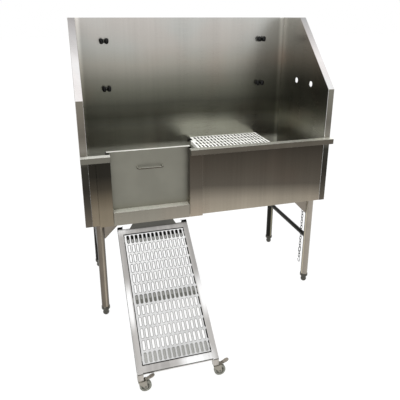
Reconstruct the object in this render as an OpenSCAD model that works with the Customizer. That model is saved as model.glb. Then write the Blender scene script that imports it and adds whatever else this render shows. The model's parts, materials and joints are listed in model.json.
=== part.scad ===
/* [Tub] */
// Overall width over the side flanges
tub_w = 1270; // [1100:5:1500]
// Depth from the face of the front panel to the face of the back wall
tub_d = 542; // [460:1:700]
// Height of the top edge of the back wall
tub_top_z = 1461; // [1250:1:1760]
// Height of the front rim
rim_z = 866; // [800:1:1040]
// Height of the lower edge of the walls
base_z = 515; // [440:1:560]
// Depth of the level part of the side walls' top edge
top_flat = 198; // [120:1:260]
// Thickness of the sheet steel
sheet_t = 1.5; // [1.2:0.1:2]
// Width of the flange folded out along the side walls
flange_w = 34; // [26:1:44]
// Width of the flange folded back along the top of the back wall
back_flange = 25; // [15:1:40]
// Depth of the lip that stiffens each flange
flange_lip = 10; // [6:1:16]
// Width of the hem folded in along the lower edges
hem_w = 12; // [8:1:13]

/* [Basin] */
// Height of the level border of the basin floor
floor_z = 545; // [540:1:600]
// Width of the level border of the basin floor
floor_border = 70; // [40:1:110]
// Fall of the floor from its border to the drain
floor_fall = 15; // [8:1:20]
// Distance of the drain from the middle of the tub
drain_x = 400; // [200:5:430]
// Distance of the drain from the front panel
drain_y = 270; // [200:5:330]
// Diameter of the hole for the drain
drain_hole_d = 88; // [80:1:100]
// Outer diameter of the drain outlet
drain_pipe_d = 38; // [32:1:50]
// Length of the drain outlet under its nut
drain_pipe_l = 60; // [40:5:120]

/* [Rim rail] */
// How far the rail stands out from the front panel
rail_out = 37; // [30:1:50]
// Height of the rail's front face
rail_h = 27; // [20:1:40]
// Depth of the rail's lower lip
rail_lip = 10; // [6:1:14]

/* [Door] */
// Position of the door opening's middle
door_x = -314; // [-330:1:-250]
// Width of the door opening
opening_w = 376; // [330:1:400]
// Height of the sill
sill_z = 578; // [570:1:640]
// Height of the sill's lower edge
sill_low_z = 512; // [505:1:515]
// Width of each cover strip beside the opening
post_w = 66; // [50:1:80]
// How far the strips and the sill stand out from the front panel
post_out = 10; // [8:1:14]
// Depth of the slots that guide the door
slot_depth = 16; // [12:1:20]
// Distance from the front panel to the front jaw of the slots
slot_y = 30; // [24:1:36]
// Thickness of the door
door_t = 20; // [16:1:24]
// Play of the door in its slots, on each side
door_play = 2; // [1:0.5:3]
// Height of the door above the rim
door_over = 2; // [0:1:10]
// Distance between the legs of the door handle
handle_w = 120; // [90:1:160]
// Thickness of the handle's wire
handle_d = 7; // [5:1:10]
// How far the handle stands out from the door
handle_out = 28; // [20:1:32]
// Height of the handle
handle_z = 783; // [700:1:820]

/* [Grate] */
// Height of the grate's top face
grate_z = 773; // [700:1:800]
// Left edge of the grate
grate_x = 5; // [-20:1:60]
// Width of the grate
grate_w = 438; // [400:1:480]
// Thickness of the grate's plate
grate_t = 2; // [1.5:0.5:3]
// Number of slots across the grate
grate_cols = 20; // [12:1:22]
// Number of slots from front to back
grate_rows = 9; // [6:1:10]
// Width of each slot
grate_slot_w = 11; // [7:1:12]
// Length of each slot
grate_slot_l = 50; // [30:1:52]
// Depth of the grate's folded sides
grate_fold = 18; // [10:1:25]
// Depth of the ledges that carry the grate
ledge_w = 25; // [15:1:40]
// Play between the grate and the walls
grate_play = 2.5; // [1:0.5:5]
// Width of the cut-out in the grate's rear left corner
notch_w = 15; // [8:1:20]
// Length of that cut-out
notch_l = 75; // [40:1:100]

/* [Stand] */
// Outer diameter of the legs
leg_d = 38; // [32:1:44]
// Wall of the legs and stretchers
leg_wall = 1.5; // [1:0.1:3]
// Play between the legs and the hems of the walls
leg_play = 2; // [0.5:0.5:20]
// Height of the lower end of the legs
leg_low_z = 50; // [45:1:80]
// Diameter of the side stretchers
stretcher_d = 25; // [20:1:30]
// Height of the side stretchers
stretcher_z = 280; // [150:5:400]
// Width of the channels under the basin
channel_w = 47; // [45:1:60]
// Size of the gusset plates beside the legs
gusset_l = 88; // [50:1:140]
// Thickness of the gusset plates
gusset_t = 3; // [2:0.5:5]
// Diameter of the feet's collars
foot_collar_d = 43; // [40:1:46]
// Travel of the feet's threads
foot_travel = 25; // [10:1:25]

/* [Tie-up pegs] */
// Distance of the pegs from the tub's middle
peg_x = 456; // [300:1:520]
// Height of the upper pegs
peg_high_z = 1341; // [1250:1:1400]
// Height of the lower pegs
peg_low_z = 1085; // [950:1:1200]
// Distance between the two pads of a peg
peg_pitch = 28; // [26:1:34]
// Diameter of a pad
pad_d = 21.5; // [16:0.5:24]
// Height of a pad
pad_h = 30; // [26:1:36]
// How far the pads stand out from the wall
peg_out = 30; // [26:1:40]

/* [Tap holes] */
// Diameter of the tap holes in the right wall
tap_d = 30; // [22:1:34]
// Distance between the tap holes
tap_pitch = 160; // [100:1:200]
// Distance of their middle from the front panel
tap_y = 258; // [230:1:320]
// Height of the tap holes
tap_z = 1120; // [1000:1:1140]

/* [Ramp] */
// Slope of the ramp in degrees
ramp_angle = 36.4; // [34:0.1:42]
// Height of the ramp's upper edge
ramp_top_z = 484; // [470:1:490]
// Width of the ramp
ramp_w = 346; // [300:1:366]
// Size of the ramp's square tubes
tube_w = 25; // [20:1:28]
// Wall of the ramp's tubes
tube_wall = 1.5; // [1:0.1:3]
// Width of the cross bars
bar_w = 30; // [22:1:40]
// Height of the side tubes' lower ends over the casters
socket_h = 34; // [30:1:44]
// Play of the tread panel in the frame
panel_play = 3; // [1:0.5:5]
// Thickness of the tread panel
panel_t = 2; // [1.5:0.5:3]
// Number of slots across the tread panel
panel_cols = 14; // [8:1:16]
// Number of slot rows along the tread panel
panel_rows = 12; // [8:1:13]
// Width of each slot
panel_slot_w = 11.4; // [7:0.1:12]
// Length of each slot
panel_slot_l = 41; // [26:1:42]
// Diameter of the rod that the ramp hooks over
rod_d = 8; // [6:1:10]
// Distance of the rod from the front panel
rod_y = 2; // [1:0.5:2]
// Height of the rod
rod_z = 520; // [519:1:522]
// Thickness of the hook plate
hook_t = 3; // [2:0.5:3]
// Width of the hook plate at the rod
hook_w = 190; // [120:1:240]
// Length of the rubber caps on the upper ends of the side tubes
cap_l = 14; // [6:1:18]

/* [Casters] */
// Diameter of the wheels
wheel_d = 50; // [44:1:60]
// Width of the wheels
wheel_w = 18; // [14:1:22]
// Height of the casters over their wheels
caster_rise = 10; // [9:1:16]
// Distance from the swivel axis to the wheel's axis
caster_trail = 20; // [18:1:24]
// Diameter of the caster stems
stem_d = 10; // [8:1:12]
// Diameter of the wheel axles
axle_d = 6; // [5:1:8]
// Length of the brake pedals
pedal_l = 42; // [34:1:44]
// Angle at which the released pedals stand up
pedal_rest = 25; // [0:1:26]

/* [Chain] */
// Distance of the chain from the front panel
chain_y = 150; // [120:5:300]
// Thickness of the chain's wire
wire_d = 3; // [2:0.5:3.5]
// Length of a link
link_l = 24; // [20:1:30]
// Width of a link
link_w = 14; // [12:1:15]
// Number of links down to the long link
upper_links = 20; // [10:2:20]
// Length of the long link
long_link_l = 34; // [28:1:40]
// Diameter of the hook's bend
hook_bend_d = 21; // [14:1:26]

/* [Hidden] */
$fn = 48;

// Gap between parts that move past each other
gap = 0.3;
// Radial play of a shaft in its hole
running = 0.05;
steel = "silver";
dark_steel = "dimgray";
black = [0.08, 0.08, 0.08];

// The side walls' inner faces and the 45 degree slant of their front edge
half_w = tub_w / 2 - flange_w;
slant_y = tub_d - top_flat;
knee_z = tub_top_z - slant_y;
mitre = tan(22.5);

// The door opening and what stands around it
post_low_z = floor_z;
slot_w = door_t + 2 * door_play;
slot_far_y = slot_y + slot_w;
apron_edge = slot_depth + sheet_t;
door_w = opening_w + 2 * (slot_depth - door_play);
door_top_z = rim_z + door_over;

// The stand. Its channels leave room beside the legs, and the feet's collars carry the legs
channel_play = 3;
leg_x = half_w - hem_w - leg_play - leg_d / 2;
leg_front_y = hem_w + leg_play + leg_d / 2;
channel_out_w = max(channel_w, leg_d + 2 * (sheet_t + channel_play));
leg_rear_y = tub_d - channel_out_w / 2 - sheet_t;
foot_collar = max(foot_collar_d, leg_d + 5);
channel_top_z = floor_z - sheet_t;
channel_low_z = base_z + sheet_t;
leg_top_z = channel_top_z - sheet_t;
stud_d = 12;
insert_h = 30;

// The pegs
peg_plate_t = 2.5;
peg_plate_h = 20;
peg_neck_d = 10;
peg_pin_d = 6;
peg_pin_end = 4;

// The drain
drain_top_z = floor_z - floor_fall;
drain_r = drain_hole_d / 2;
drain_cup_r = drain_r - 1;
drain_cup_h = 38;
drain_neck_h = 12;
drain_rim_r = drain_r + 12;
drain_rim_t = 3;
drain_gasket_t = 3;

// The casters
caster_top_z = wheel_d + caster_rise;
wheel_z = wheel_d / 2;
cheek_in = wheel_w / 2 + 1;
cheek_t = 2;
cheek_out = cheek_in + cheek_t;
axle_head = 1.5;
bridge_z = wheel_d + 1;
bridge_t = 2.5;
crown_top_z = caster_top_z - gap;
pedal_x = 21;
pedal_z = bridge_z + 2.5;
pedal_t = 2.6;
pedal_pin_d = 3;
pedal_tip_z = pedal_z + pedal_l * sin(pedal_rest) + pedal_t / 2;

// The ramp, from its upper edge to the plumb cut at the lower ends of its tubes
ramp_run = (ramp_top_z - caster_top_z - socket_h) / tan(ramp_angle);
ramp_len = ramp_run / cos(ramp_angle);
side_x = ramp_w / 2 - tube_w / 2;
clear_w = ramp_w - 2 * tube_w;
// The low bar stays clear of the raised pedals
low_bar_sink = pedal_tip_z + 1 + tube_w * cos(ramp_angle) - caster_top_z - socket_h;
low_bar_end = ramp_len - max(2, low_bar_sink / sin(ramp_angle));
panel_w = clear_w - 2 * panel_play;
panel_far = low_bar_end - bar_w - panel_play;
panel_near = bar_w + panel_play;
panel_l = panel_far - panel_near;
panel_drop = 1;
panel_pitch_x = (panel_w - 10) / panel_cols;
panel_pitch_y = panel_l / panel_rows;
support_rows = [0, floor(panel_rows / 2), panel_rows - 1];
support_w = 20;
support_h = 15;
hook_r = rod_d / 2 + gap;
stem_y = ramp_run - tube_w / 2;
stem_l = socket_h - 6;

// The chain hangs from the hem of the right wall
chain_x = half_w - 4;
eye_d = 10;
eye_plate_h = 3;
eye_z = base_z - eye_plate_h - eye_d / 2;
link_play = 0.2;
long_wire_d = wire_d + 1;
long_link_w = link_w + 2;
link_span = link_l - wire_d;
link_step = link_span - wire_d - link_play;
mixed_lap = (wire_d + long_wire_d) / 2 + link_play;
upper_top_z = eye_z - eye_d / 2 + wire_d + link_play;
upper_low_z = upper_top_z - (upper_links - 1) * link_step - link_span;
long_top_z = upper_low_z + mixed_lap;
long_low_z = long_top_z - (long_link_l - long_wire_d);
lower_top_z = long_low_z + mixed_lap;
lower_low_z = lower_top_z - link_step - link_span;

// The hook under the lowest link; heights are measured down from the wire it hangs on
hook_eye_d = 9;
hook_eye_low = hook_eye_d - wire_d - link_play;
hook_stem_l = 14.5;
hook_tip_l = 6;
hook_ball_d = wire_d + 1;
hook_bend_r = hook_bend_d / 2;
hook_bend_low = hook_eye_low + hook_stem_l;

// The hook leans until its middle of mass hangs under that wire
hook_masses = [
    PI * hook_eye_d, hook_stem_l, PI * hook_bend_r, hook_tip_l,
    2 / 3 * pow(hook_ball_d, 3) / pow(wire_d, 2)
];
hook_reach = [0, 0, hook_bend_r, hook_bend_d, hook_bend_d];
hook_depth = [
    hook_eye_low - hook_eye_d / 2, hook_eye_low + hook_stem_l / 2,
    hook_bend_low + hook_bend_d / PI, hook_bend_low - hook_tip_l / 2,
    hook_bend_low - hook_tip_l
];
hook_lean = atan(hook_masses * hook_reach / (hook_masses * hook_depth));

// The tub's middle stands over the origin, from the ramp's foot to the rear flange
reach_front = max(ramp_run, stem_y + cheek_out + axle_head);
reach_rear = tub_d + sheet_t + back_flange;
shift_y = (reach_front - reach_rear) / 2;

module place() {
    translate([0, shift_y, 0]) children();
}

// Extrudes a profile drawn in Y and Z along X
module along_x(x0, run) {
    translate([x0, 0, 0]) rotate([90, 0, 90]) linear_extrude(run) children();
}

// Extrudes a profile drawn in X and Z along Y
module along_y(y0, run) {
    translate([0, y0 + run, 0]) rotate([90, 0, 0]) linear_extrude(run) children();
}

// A rod or hole along X, centred on x
module rod_x(d, run) {
    rotate([0, 90, 0]) cylinder(d = d, h = run, center = true);
}

// A rod or hole along Y, centred on y
module rod_y_axis(d, run) {
    rotate([90, 0, 0]) cylinder(d = d, h = run, center = true);
}

// The section of a sheet folded at right angles along the given middle line
module folded(path, t = sheet_t) {
    for (i = [0 : len(path) - 2]) {
        low = [min(path[i].x, path[i + 1].x) - t / 2, min(path[i].y, path[i + 1].y) - t / 2];
        high = [max(path[i].x, path[i + 1].x) + t / 2, max(path[i].y, path[i + 1].y) + t / 2];
        translate(low) square(high - low);
    }
}

// A slot with round ends, long side along Y
module slot_2d(w, l) {
    square([w, l - w], center = true);
    for (s = [-1, 1]) translate([0, s * (l - w) / 2]) circle(d = w, $fn = 24);
}

// A round tube along Z
module tube(d, wall, h) {
    difference() {
        cylinder(d = d, h = h);
        translate([0, 0, -1]) cylinder(d = d - 2 * wall, h = h + 2);
    }
}

// Walls

module wall_outline() {
    polygon([
        [0, base_z], [0, knee_z], [slant_y, tub_top_z], [tub_d, tub_top_z], [tub_d, base_z]
    ]);
}

// A band of width w along the inside of the wall's front and top edges
module edge_band(w) {
    polygon([
        [0, base_z], [0, knee_z], [slant_y, tub_top_z], [tub_d, tub_top_z],
        [tub_d, tub_top_z - w], [slant_y + w * mitre, tub_top_z - w],
        [w, knee_z - w * mitre], [w, base_z]
    ]);
}

module side_wall(taps) {
    difference() {
        union() {
            along_x(half_w, sheet_t) wall_outline();
            along_x(half_w, flange_w) edge_band(sheet_t);
            along_x(tub_w / 2 - sheet_t, sheet_t) edge_band(flange_lip);
            translate([half_w - hem_w, hem_w + 1, base_z])
                cube([hem_w + sheet_t, tub_d - hem_w - 2, sheet_t]);
        }
        if (taps)
            for (s = [-1, 1])
                translate([half_w, tap_y + s * tap_pitch / 2, tap_z]) rod_x(tap_d, 4 * sheet_t);
    }
}

module side_wall_left() {
    color(dark_steel) place() mirror([1, 0, 0]) side_wall(false);
}

module side_wall_right() {
    color(steel) place() side_wall(true);
}

module back_wall() {
    wall_w = 2 * (half_w + sheet_t);
    color(dark_steel) place() {
        translate([-wall_w / 2, tub_d, base_z]) cube([wall_w, sheet_t, tub_top_z - base_z]);
        along_x(-tub_w / 2, tub_w)
            folded([
                [tub_d + sheet_t / 2, tub_top_z - sheet_t / 2],
                [reach_rear - sheet_t / 2, tub_top_z - sheet_t / 2],
                [reach_rear - sheet_t / 2, tub_top_z - flange_lip]
            ]);
    }
}

// The sloping part of the floor, between the border and the square around the drain
module floor_slopes() {
    half = drain_hole_d / 2 + 16;
    x0 = -half_w + floor_border;
    x1 = half_w - floor_border;
    y0 = floor_border;
    y1 = tub_d - floor_border;
    outer = [[x0, y0], [x1, y0], [x1, y1], [x0, y1]];
    inner = [
        [drain_x - half, drain_y - half], [drain_x + half, drain_y - half],
        [drain_x + half, drain_y + half], [drain_x - half, drain_y + half]
    ];
    points = concat(
        [for (p = outer) [p.x, p.y, floor_z]],
        [for (p = inner) [p.x, p.y, floor_z - floor_fall]],
        [for (p = outer) [p.x, p.y, floor_z - sheet_t]],
        [for (p = inner) [p.x, p.y, floor_z - floor_fall - sheet_t]]
    );
    next = [1, 2, 3, 0];
    faces = concat(
        [for (i = [0 : 3]) [i, i + 4, next[i] + 4, next[i]]],
        [for (i = [0 : 3]) [i + 8, next[i] + 8, next[i] + 12, i + 12]],
        [for (i = [0 : 3]) [i, next[i], next[i] + 8, i + 8]],
        [for (i = [0 : 3]) [i + 4, i + 12, next[i] + 12, next[i] + 4]]
    );
    polyhedron(points, faces);
    difference() {
        translate([drain_x - half, drain_y - half, floor_z - floor_fall - sheet_t])
            cube([2 * half, 2 * half, sheet_t]);
        translate([drain_x, drain_y, 0]) cylinder(d = drain_hole_d, h = floor_z);
    }
}

module basin_floor() {
    color(steel) place() {
        difference() {
            translate([-half_w, sheet_t, floor_z - sheet_t])
                cube([2 * half_w, tub_d - sheet_t, sheet_t]);
            translate([-half_w + floor_border, floor_border, floor_z - 2 * sheet_t])
                cube([2 * (half_w - floor_border), tub_d - 2 * floor_border, 4 * sheet_t]);
        }
        floor_slopes();
    }
}

// Front

module apron(x0, x1) {
    along_x(x0, x1 - x0)
        folded([
            [sheet_t / 2, rim_z - 1.5 * sheet_t],
            [sheet_t / 2, base_z + sheet_t / 2],
            [hem_w - sheet_t / 2, base_z + sheet_t / 2]
        ]);
}

module apron_left() {
    color(dark_steel) place() apron(-half_w, door_x - opening_w / 2 - apron_edge);
}

module apron_right() {
    color(dark_steel) place() apron(door_x + opening_w / 2 + apron_edge, half_w);
}

// A rail from the outer end to the door opening, with closed ends
module rail(x_out, x_in) {
    low = min(x_out, x_in);
    run = abs(x_out - x_in);
    dir = sign(x_in - x_out);
    along_x(low, run)
        folded([
            [-sheet_t / 2, rim_z - sheet_t / 2],
            [sheet_t / 2 - rail_out, rim_z - sheet_t / 2],
            [sheet_t / 2 - rail_out, rim_z - rail_h + sheet_t / 2],
            [rail_lip - rail_out, rim_z - rail_h + sheet_t / 2]
        ]);
    // Over the edge of the front panel
    over = run - flange_w;
    translate([low + (dir > 0 ? flange_w : 0), -sheet_t, rim_z - sheet_t])
        cube([over, 2 * sheet_t, sheet_t]);
    for (end = [x_out, x_in - dir * sheet_t]) {
        depth = end == x_out ? rail_out : rail_out - post_out;
        translate([min(end, end + dir * sheet_t), -rail_out, rim_z - rail_h])
            cube([sheet_t, depth, rail_h]);
    }
}

module rail_left() {
    color(steel) place() rail(-tub_w / 2, door_x - opening_w / 2);
}

module rail_right() {
    color(steel) place() rail(tub_w / 2, door_x + opening_w / 2);
}

// A cover strip and the door's slot behind it, measured outwards from the opening's edge
module door_post() {
    mid = sheet_t / 2;
    front = mid - post_out;
    jamb_top = rim_z - sheet_t;
    translate([0, 0, sill_low_z])
        linear_extrude(jamb_top - sill_low_z)
            folded([[post_w - mid, -mid], [post_w - mid, front], [mid, front], [mid, -mid]]);
    translate([0, 0, post_low_z])
        linear_extrude(jamb_top - post_low_z)
            folded([
                [mid, front], [mid, slot_y - mid], [slot_depth + mid, slot_y - mid],
                [slot_depth + mid, slot_far_y + mid], [mid, slot_far_y + mid]
            ]);
}

module door_post_left() {
    color(steel) place() translate([door_x - opening_w / 2, 0, 0]) mirror([1, 0, 0]) door_post();
}

module door_post_right() {
    color(steel) place() translate([door_x + opening_w / 2, 0, 0]) door_post();
}

module door_sill() {
    seam = 1.5;
    mid = sheet_t / 2;
    color(steel) place()
        along_x(door_x - opening_w / 2 + seam, opening_w - 2 * seam)
            folded([
                [mid - post_out, sill_low_z + mid], [mid - post_out, sill_z - mid],
                [slot_far_y + sheet_t, sill_z - mid], [slot_far_y + sheet_t, floor_z + mid]
            ]);
}

// The door: a folded pan, open to the rear, with a lip along its top
module door_panel() {
    low_z = sill_z + gap;
    door_h = door_top_z - low_z;
    lip = 12;
    color("gray") place() translate([door_x - door_w / 2, slot_y + door_play, low_z]) {
        difference() {
            cube([door_w, door_t, door_h]);
            translate([sheet_t, sheet_t, sheet_t])
                cube([door_w - 2 * sheet_t, door_t, door_h - 2 * sheet_t]);
        }
        translate([sheet_t, door_t - sheet_t, door_h - lip])
            cube([door_w - 2 * sheet_t, sheet_t, lip]);
    }
}

module door_handle() {
    bend_r = 10;
    face_y = slot_y + door_play;
    reach = handle_out - handle_d / 2;
    color(steel) place() translate([door_x, face_y, handle_z]) {
        translate([0, -reach, 0]) rod_x(handle_d, handle_w - 2 * bend_r);
        for (s = [-1, 1]) {
            translate([s * handle_w / 2, -(reach - bend_r) / 2, 0])
                rod_y_axis(handle_d, reach - bend_r);
            translate([s * (handle_w / 2 - bend_r), bend_r - reach, 0])
                rotate([0, 0, s > 0 ? -90 : 180])
                    rotate_extrude(angle = 90) translate([bend_r, 0]) circle(d = handle_d);
        }
    }
}

// Stand

module base_channel(y) {
    end_play = 1;
    run = 2 * (half_w - end_play);
    side = channel_out_w / 2 - sheet_t / 2;
    color(dark_steel) place()
        along_x(-run / 2, run)
            folded([
                [y - side, channel_low_z + sheet_t / 2], [y - side, channel_top_z - sheet_t / 2],
                [y + side, channel_top_z - sheet_t / 2], [y + side, channel_low_z + sheet_t / 2]
            ]);
}

module leg(sx, y) {
    color(steel) place() translate([sx * leg_x, y, leg_low_z])
        tube(leg_d, leg_wall, leg_top_z - leg_low_z);
}

// Plates that brace the legs against the channels, cut at 45 degrees
module leg_gussets() {
    x_in = leg_x - leg_d / 2 - gusset_l;
    x_out = leg_x - leg_d / 2;
    drop = gusset_l - 3;
    color(dark_steel) place()
        for (y = [leg_front_y, leg_rear_y], s = [0, 1])
            mirror([s, 0, 0])
                along_y(y - gusset_t / 2, gusset_t)
                    polygon([
                        [x_in, leg_top_z], [x_in, base_z],
                        [x_out - 3, base_z - drop], [x_out, base_z - drop], [x_out, leg_top_z]
                    ]);
}

// Stretchers with their ends cut to sit on the legs
module side_stretcher(sx) {
    color(dark_steel) place() translate([sx * leg_x, 0, 0])
        difference() {
            translate([0, leg_front_y, stretcher_z]) rotate([-90, 0, 0])
                tube(stretcher_d, leg_wall, leg_rear_y - leg_front_y);
            for (y = [leg_front_y, leg_rear_y])
                translate([0, y, leg_low_z]) cylinder(d = leg_d, h = leg_top_z - leg_low_z);
        }
}

// Threaded plugs in the lower ends of the legs
module leg_inserts() {
    color(dark_steel) place()
        for (sx = [-1, 1], y = [leg_front_y, leg_rear_y])
            translate([sx * leg_x, y, leg_low_z])
                difference() {
                    cylinder(d = leg_d - 2 * leg_wall - 2 * running, h = insert_h);
                    translate([0, 0, -1]) cylinder(d = stud_d + 2 * running, h = insert_h + 2);
                }
}

// An adjustable foot: a rounded tip, a waist, a collar and its stud
module foot(sx, y) {
    tip_d = 32;
    waist_d = 29;
    collar_top = leg_low_z - gap;
    collar_h = 15;
    collar_z = collar_top - collar_h;
    // Length of the stud that stays in its insert
    stud_hold = 20;
    color(dark_steel) place() translate([sx * leg_x, y, 0]) {
        rotate_extrude() intersection() {
            union() {
                translate([0, tip_d / 2 - 3]) circle(d = tip_d);
                square([waist_d / 2, collar_z]);
                polygon([
                    [0, tip_d / 2], [waist_d / 2, tip_d / 2], [waist_d / 2, collar_z - 7],
                    [foot_collar / 2, collar_z], [foot_collar / 2, collar_top - 2],
                    [foot_collar / 2 - 2, collar_top], [0, collar_top]
                ]);
            }
            square([foot_collar, collar_top]);
        }
        translate([0, 0, collar_z]) cylinder(d = stud_d, h = collar_h + gap + foot_travel + stud_hold);
    }
}

// Grate

module grate_ledge_front() {
    mid = sheet_t / 2;
    top = grate_z - grate_t - mid;
    color(steel) place() along_x(grate_x, grate_w)
        folded([[sheet_t + ledge_w, top], [sheet_t + mid, top], [sheet_t + mid, top - ledge_w]]);
}

module grate_ledge_rear() {
    mid = sheet_t / 2;
    top = grate_z - grate_t - mid;
    color(steel) place() along_x(grate_x, grate_w)
        folded([[tub_d - ledge_w, top], [tub_d - mid, top], [tub_d - mid, top - ledge_w]]);
}

// The plate has rows of round-ended slots, sides folded down and a corner cut out
module grate() {
    near = sheet_t + grate_play;
    far = tub_d - grate_play;
    depth = far - near;
    pitch_x = (grate_w - 12) / grate_cols;
    pitch_y = (depth - 10) / grate_rows;
    rest_z = grate_z - grate_t + gap / 10;
    fold_near = sheet_t + ledge_w + 3;
    fold_far = tub_d - max(ledge_w + 3, notch_l + grate_play + 3);
    color("gainsboro") place() {
        translate([grate_x, near, rest_z])
            linear_extrude(grate_t)
                difference() {
                    square([grate_w, depth]);
                    translate([-1, depth - notch_l]) square([notch_w + 1, notch_l + 1]);
                    for (i = [0 : grate_cols - 1], j = [0 : grate_rows - 1]) {
                        x = grate_w / 2 + (i - (grate_cols - 1) / 2) * pitch_x;
                        y = depth / 2 + (j - (grate_rows - 1) / 2) * pitch_y;
                        in_notch = x - grate_slot_w / 2 < notch_w + 3
                            && y + grate_slot_l / 2 > depth - notch_l - 3;
                        if (!in_notch) translate([x, y]) slot_2d(grate_slot_w, grate_slot_l);
                    }
                }
        translate([grate_x, fold_near, rest_z - grate_fold])
            cube([grate_t, fold_far - fold_near, grate_fold + grate_t / 2]);
        translate([grate_x + grate_w - grate_t, fold_near, rest_z - grate_fold])
            cube([grate_t, tub_d - ledge_w - 3 - fold_near, grate_fold + grate_t / 2]);
    }
}

// Pegs on the back wall

module each_peg() {
    for (sx = [-1, 1], z = [peg_low_z, peg_high_z])
        translate([sx * peg_x, tub_d, z]) children();
}

module peg_plates() {
    color(steel) place() each_peg() {
        along_y(-peg_plate_t, peg_plate_t) {
            square([peg_pitch, peg_plate_h], center = true);
            for (s = [-1, 1]) translate([s * peg_pitch / 2, 0]) circle(d = peg_plate_h);
        }
        for (s = [-1, 1])
            translate([s * peg_pitch / 2, -peg_out / 2, 0])
                rod_y_axis(peg_pin_d, peg_out - 2 * peg_pin_end);
    }
}

// Rubber pads, each an upright capsule with a hole for its neck
module peg_pads() {
    pin_far = peg_out - peg_pin_end;
    lean = 8;
    color(black) place() each_peg()
        for (s = [-1, 1])
            translate([s * peg_pitch / 2, 0, 0]) difference() {
                union() {
                    translate([0, pad_d / 2 - peg_out, 0]) rotate([0, s * lean, 0]) {
                        cylinder(d = pad_d, h = pad_h - pad_d, center = true);
                        for (t = [-1, 1])
                            translate([0, 0, t * (pad_h - pad_d) / 2]) sphere(d = pad_d);
                    }
                    translate([0, -(peg_plate_t + peg_out / 2) / 2, 0])
                        rod_y_axis(peg_neck_d, peg_out / 2 - peg_plate_t);
                }
                translate([0, -pin_far / 2, 0]) rod_y_axis(peg_pin_d, pin_far);
            }
}

module peg_screws() {
    head_d = 6;
    tip_d = 4;
    half_l = 1.5;
    color(steel) place() each_peg() {
        translate([0, -peg_plate_t - half_l, 0]) rod_y_axis(head_d, 2 * half_l);
        translate([0, -peg_plate_t - 3 * half_l, 0]) rod_y_axis(tip_d, 2 * half_l);
    }
}

// Drain

// A dished flange on the floor with a cup under it and a threaded neck
module drain_flange() {
    wall = 2;
    low = drain_top_z - drain_cup_h;
    neck_r = drain_pipe_d / 2;
    color(steel) place() translate([drain_x, drain_y, 0])
        rotate_extrude()
            polygon([
                [drain_cup_r, drain_top_z], [drain_rim_r, drain_top_z],
                [drain_rim_r, drain_top_z + drain_rim_t / 2],
                [drain_rim_r - drain_rim_t, drain_top_z + drain_rim_t],
                [drain_cup_r - wall / 2, drain_top_z + drain_rim_t],
                [drain_cup_r - wall, drain_top_z + drain_rim_t - wall / 2],
                [drain_cup_r - wall, low + wall], [neck_r - wall, low + wall],
                [neck_r - wall, low - drain_neck_h], [neck_r, low - drain_neck_h],
                [neck_r, low], [drain_cup_r, low]
            ]);
}

module drain_gasket() {
    under = drain_top_z - sheet_t;
    color(black) place() translate([drain_x, drain_y, under - drain_gasket_t])
        difference() {
            cylinder(r = drain_rim_r - 2, h = drain_gasket_t);
            translate([0, 0, -1]) cylinder(r = drain_cup_r + running, h = drain_gasket_t + 2);
        }
}

module drain_nut() {
    under = drain_top_z - sheet_t - drain_gasket_t;
    nut_h = 10;
    nut_r = drain_r + 8;
    lug_w = 8;
    color("gold") place() translate([drain_x, drain_y, under - nut_h])
        difference() {
            union() {
                cylinder(r = nut_r, h = nut_h);
                for (a = [0 : 45 : 315]) rotate([0, 0, a])
                    translate([nut_r - 1, -lug_w / 2, 0]) cube([6, lug_w, nut_h]);
            }
            translate([0, 0, -1]) cylinder(r = drain_cup_r + running, h = nut_h + 2);
        }
}

// The outlet pipe with its coupling nut, which meets the neck end to end
module drain_tailpiece() {
    neck_end = drain_top_z - drain_cup_h - drain_neck_h;
    nut_h = 16;
    nut_under = 6;
    color(steel) place() translate([drain_x, drain_y, 0]) {
        translate([0, 0, neck_end - drain_pipe_l]) tube(drain_pipe_d, sheet_t, drain_pipe_l);
        translate([0, 0, neck_end - nut_under]) difference() {
            cylinder(d = drain_pipe_d + 12, h = nut_h, $fn = 8);
            translate([0, 0, nut_under]) cylinder(d = drain_pipe_d + 2 * running, h = nut_h);
            translate([0, 0, -1]) cylinder(d = drain_pipe_d - sheet_t, h = nut_h);
        }
    }
}

// A lift-out strainer: a rim that lies on the flange, a perforated bowl and a knob
module drain_basket() {
    r = drain_cup_r - 3;
    wall = 1.5;
    bowl_h = 24;
    low = drain_top_z - bowl_h;
    rest_z = drain_top_z + drain_rim_t + gap;
    knob_z = low + 15;
    color("gainsboro") place() translate([drain_x, drain_y, 0]) {
        difference() {
            rotate_extrude()
                polygon([
                    [0, low], [r - 10, low], [r, drain_top_z], [r, rest_z], [r + 6, rest_z],
                    [r + 6, rest_z + wall], [r - wall, rest_z + wall], [r - wall, drain_top_z],
                    [r - 11, low + wall], [0, low + wall]
                ]);
            for (ring = [1 : 3])
                for (k = [0 : 6 * ring - 1])
                    rotate([0, 0, 60 * k / ring])
                        translate([8.5 * ring, 0, low - 1]) cylinder(d = 4, h = 4, $fn = 16);
        }
        translate([0, 0, low + wall / 2]) cylinder(d = 4, h = knob_z - low - wall / 2);
        translate([0, 0, knob_z]) sphere(d = 11);
    }
}

// Ramp

// The frame of the ramp: top face at height 0, running down towards -Y
module on_ramp() {
    translate([door_x, 0, ramp_top_z]) rotate([ramp_angle, 0, 0]) children();
}

module ramp_hanger() {
    ear_x = hook_w / 2 + 5;
    ear_t = 3;
    ear_far = leg_front_y - channel_out_w / 2;
    ear_near = rod_y - rod_d / 2 - 1;
    color(dark_steel) place() translate([door_x, 0, 0]) {
        translate([0, rod_y, rod_z]) rod_x(rod_d, 2 * ear_x);
        for (s = [-1, 1])
            translate([s * ear_x - ear_t / 2, ear_near, channel_low_z])
                cube([ear_t, ear_far - ear_near, 2 * (rod_z - channel_low_z)]);
    }
}

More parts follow.
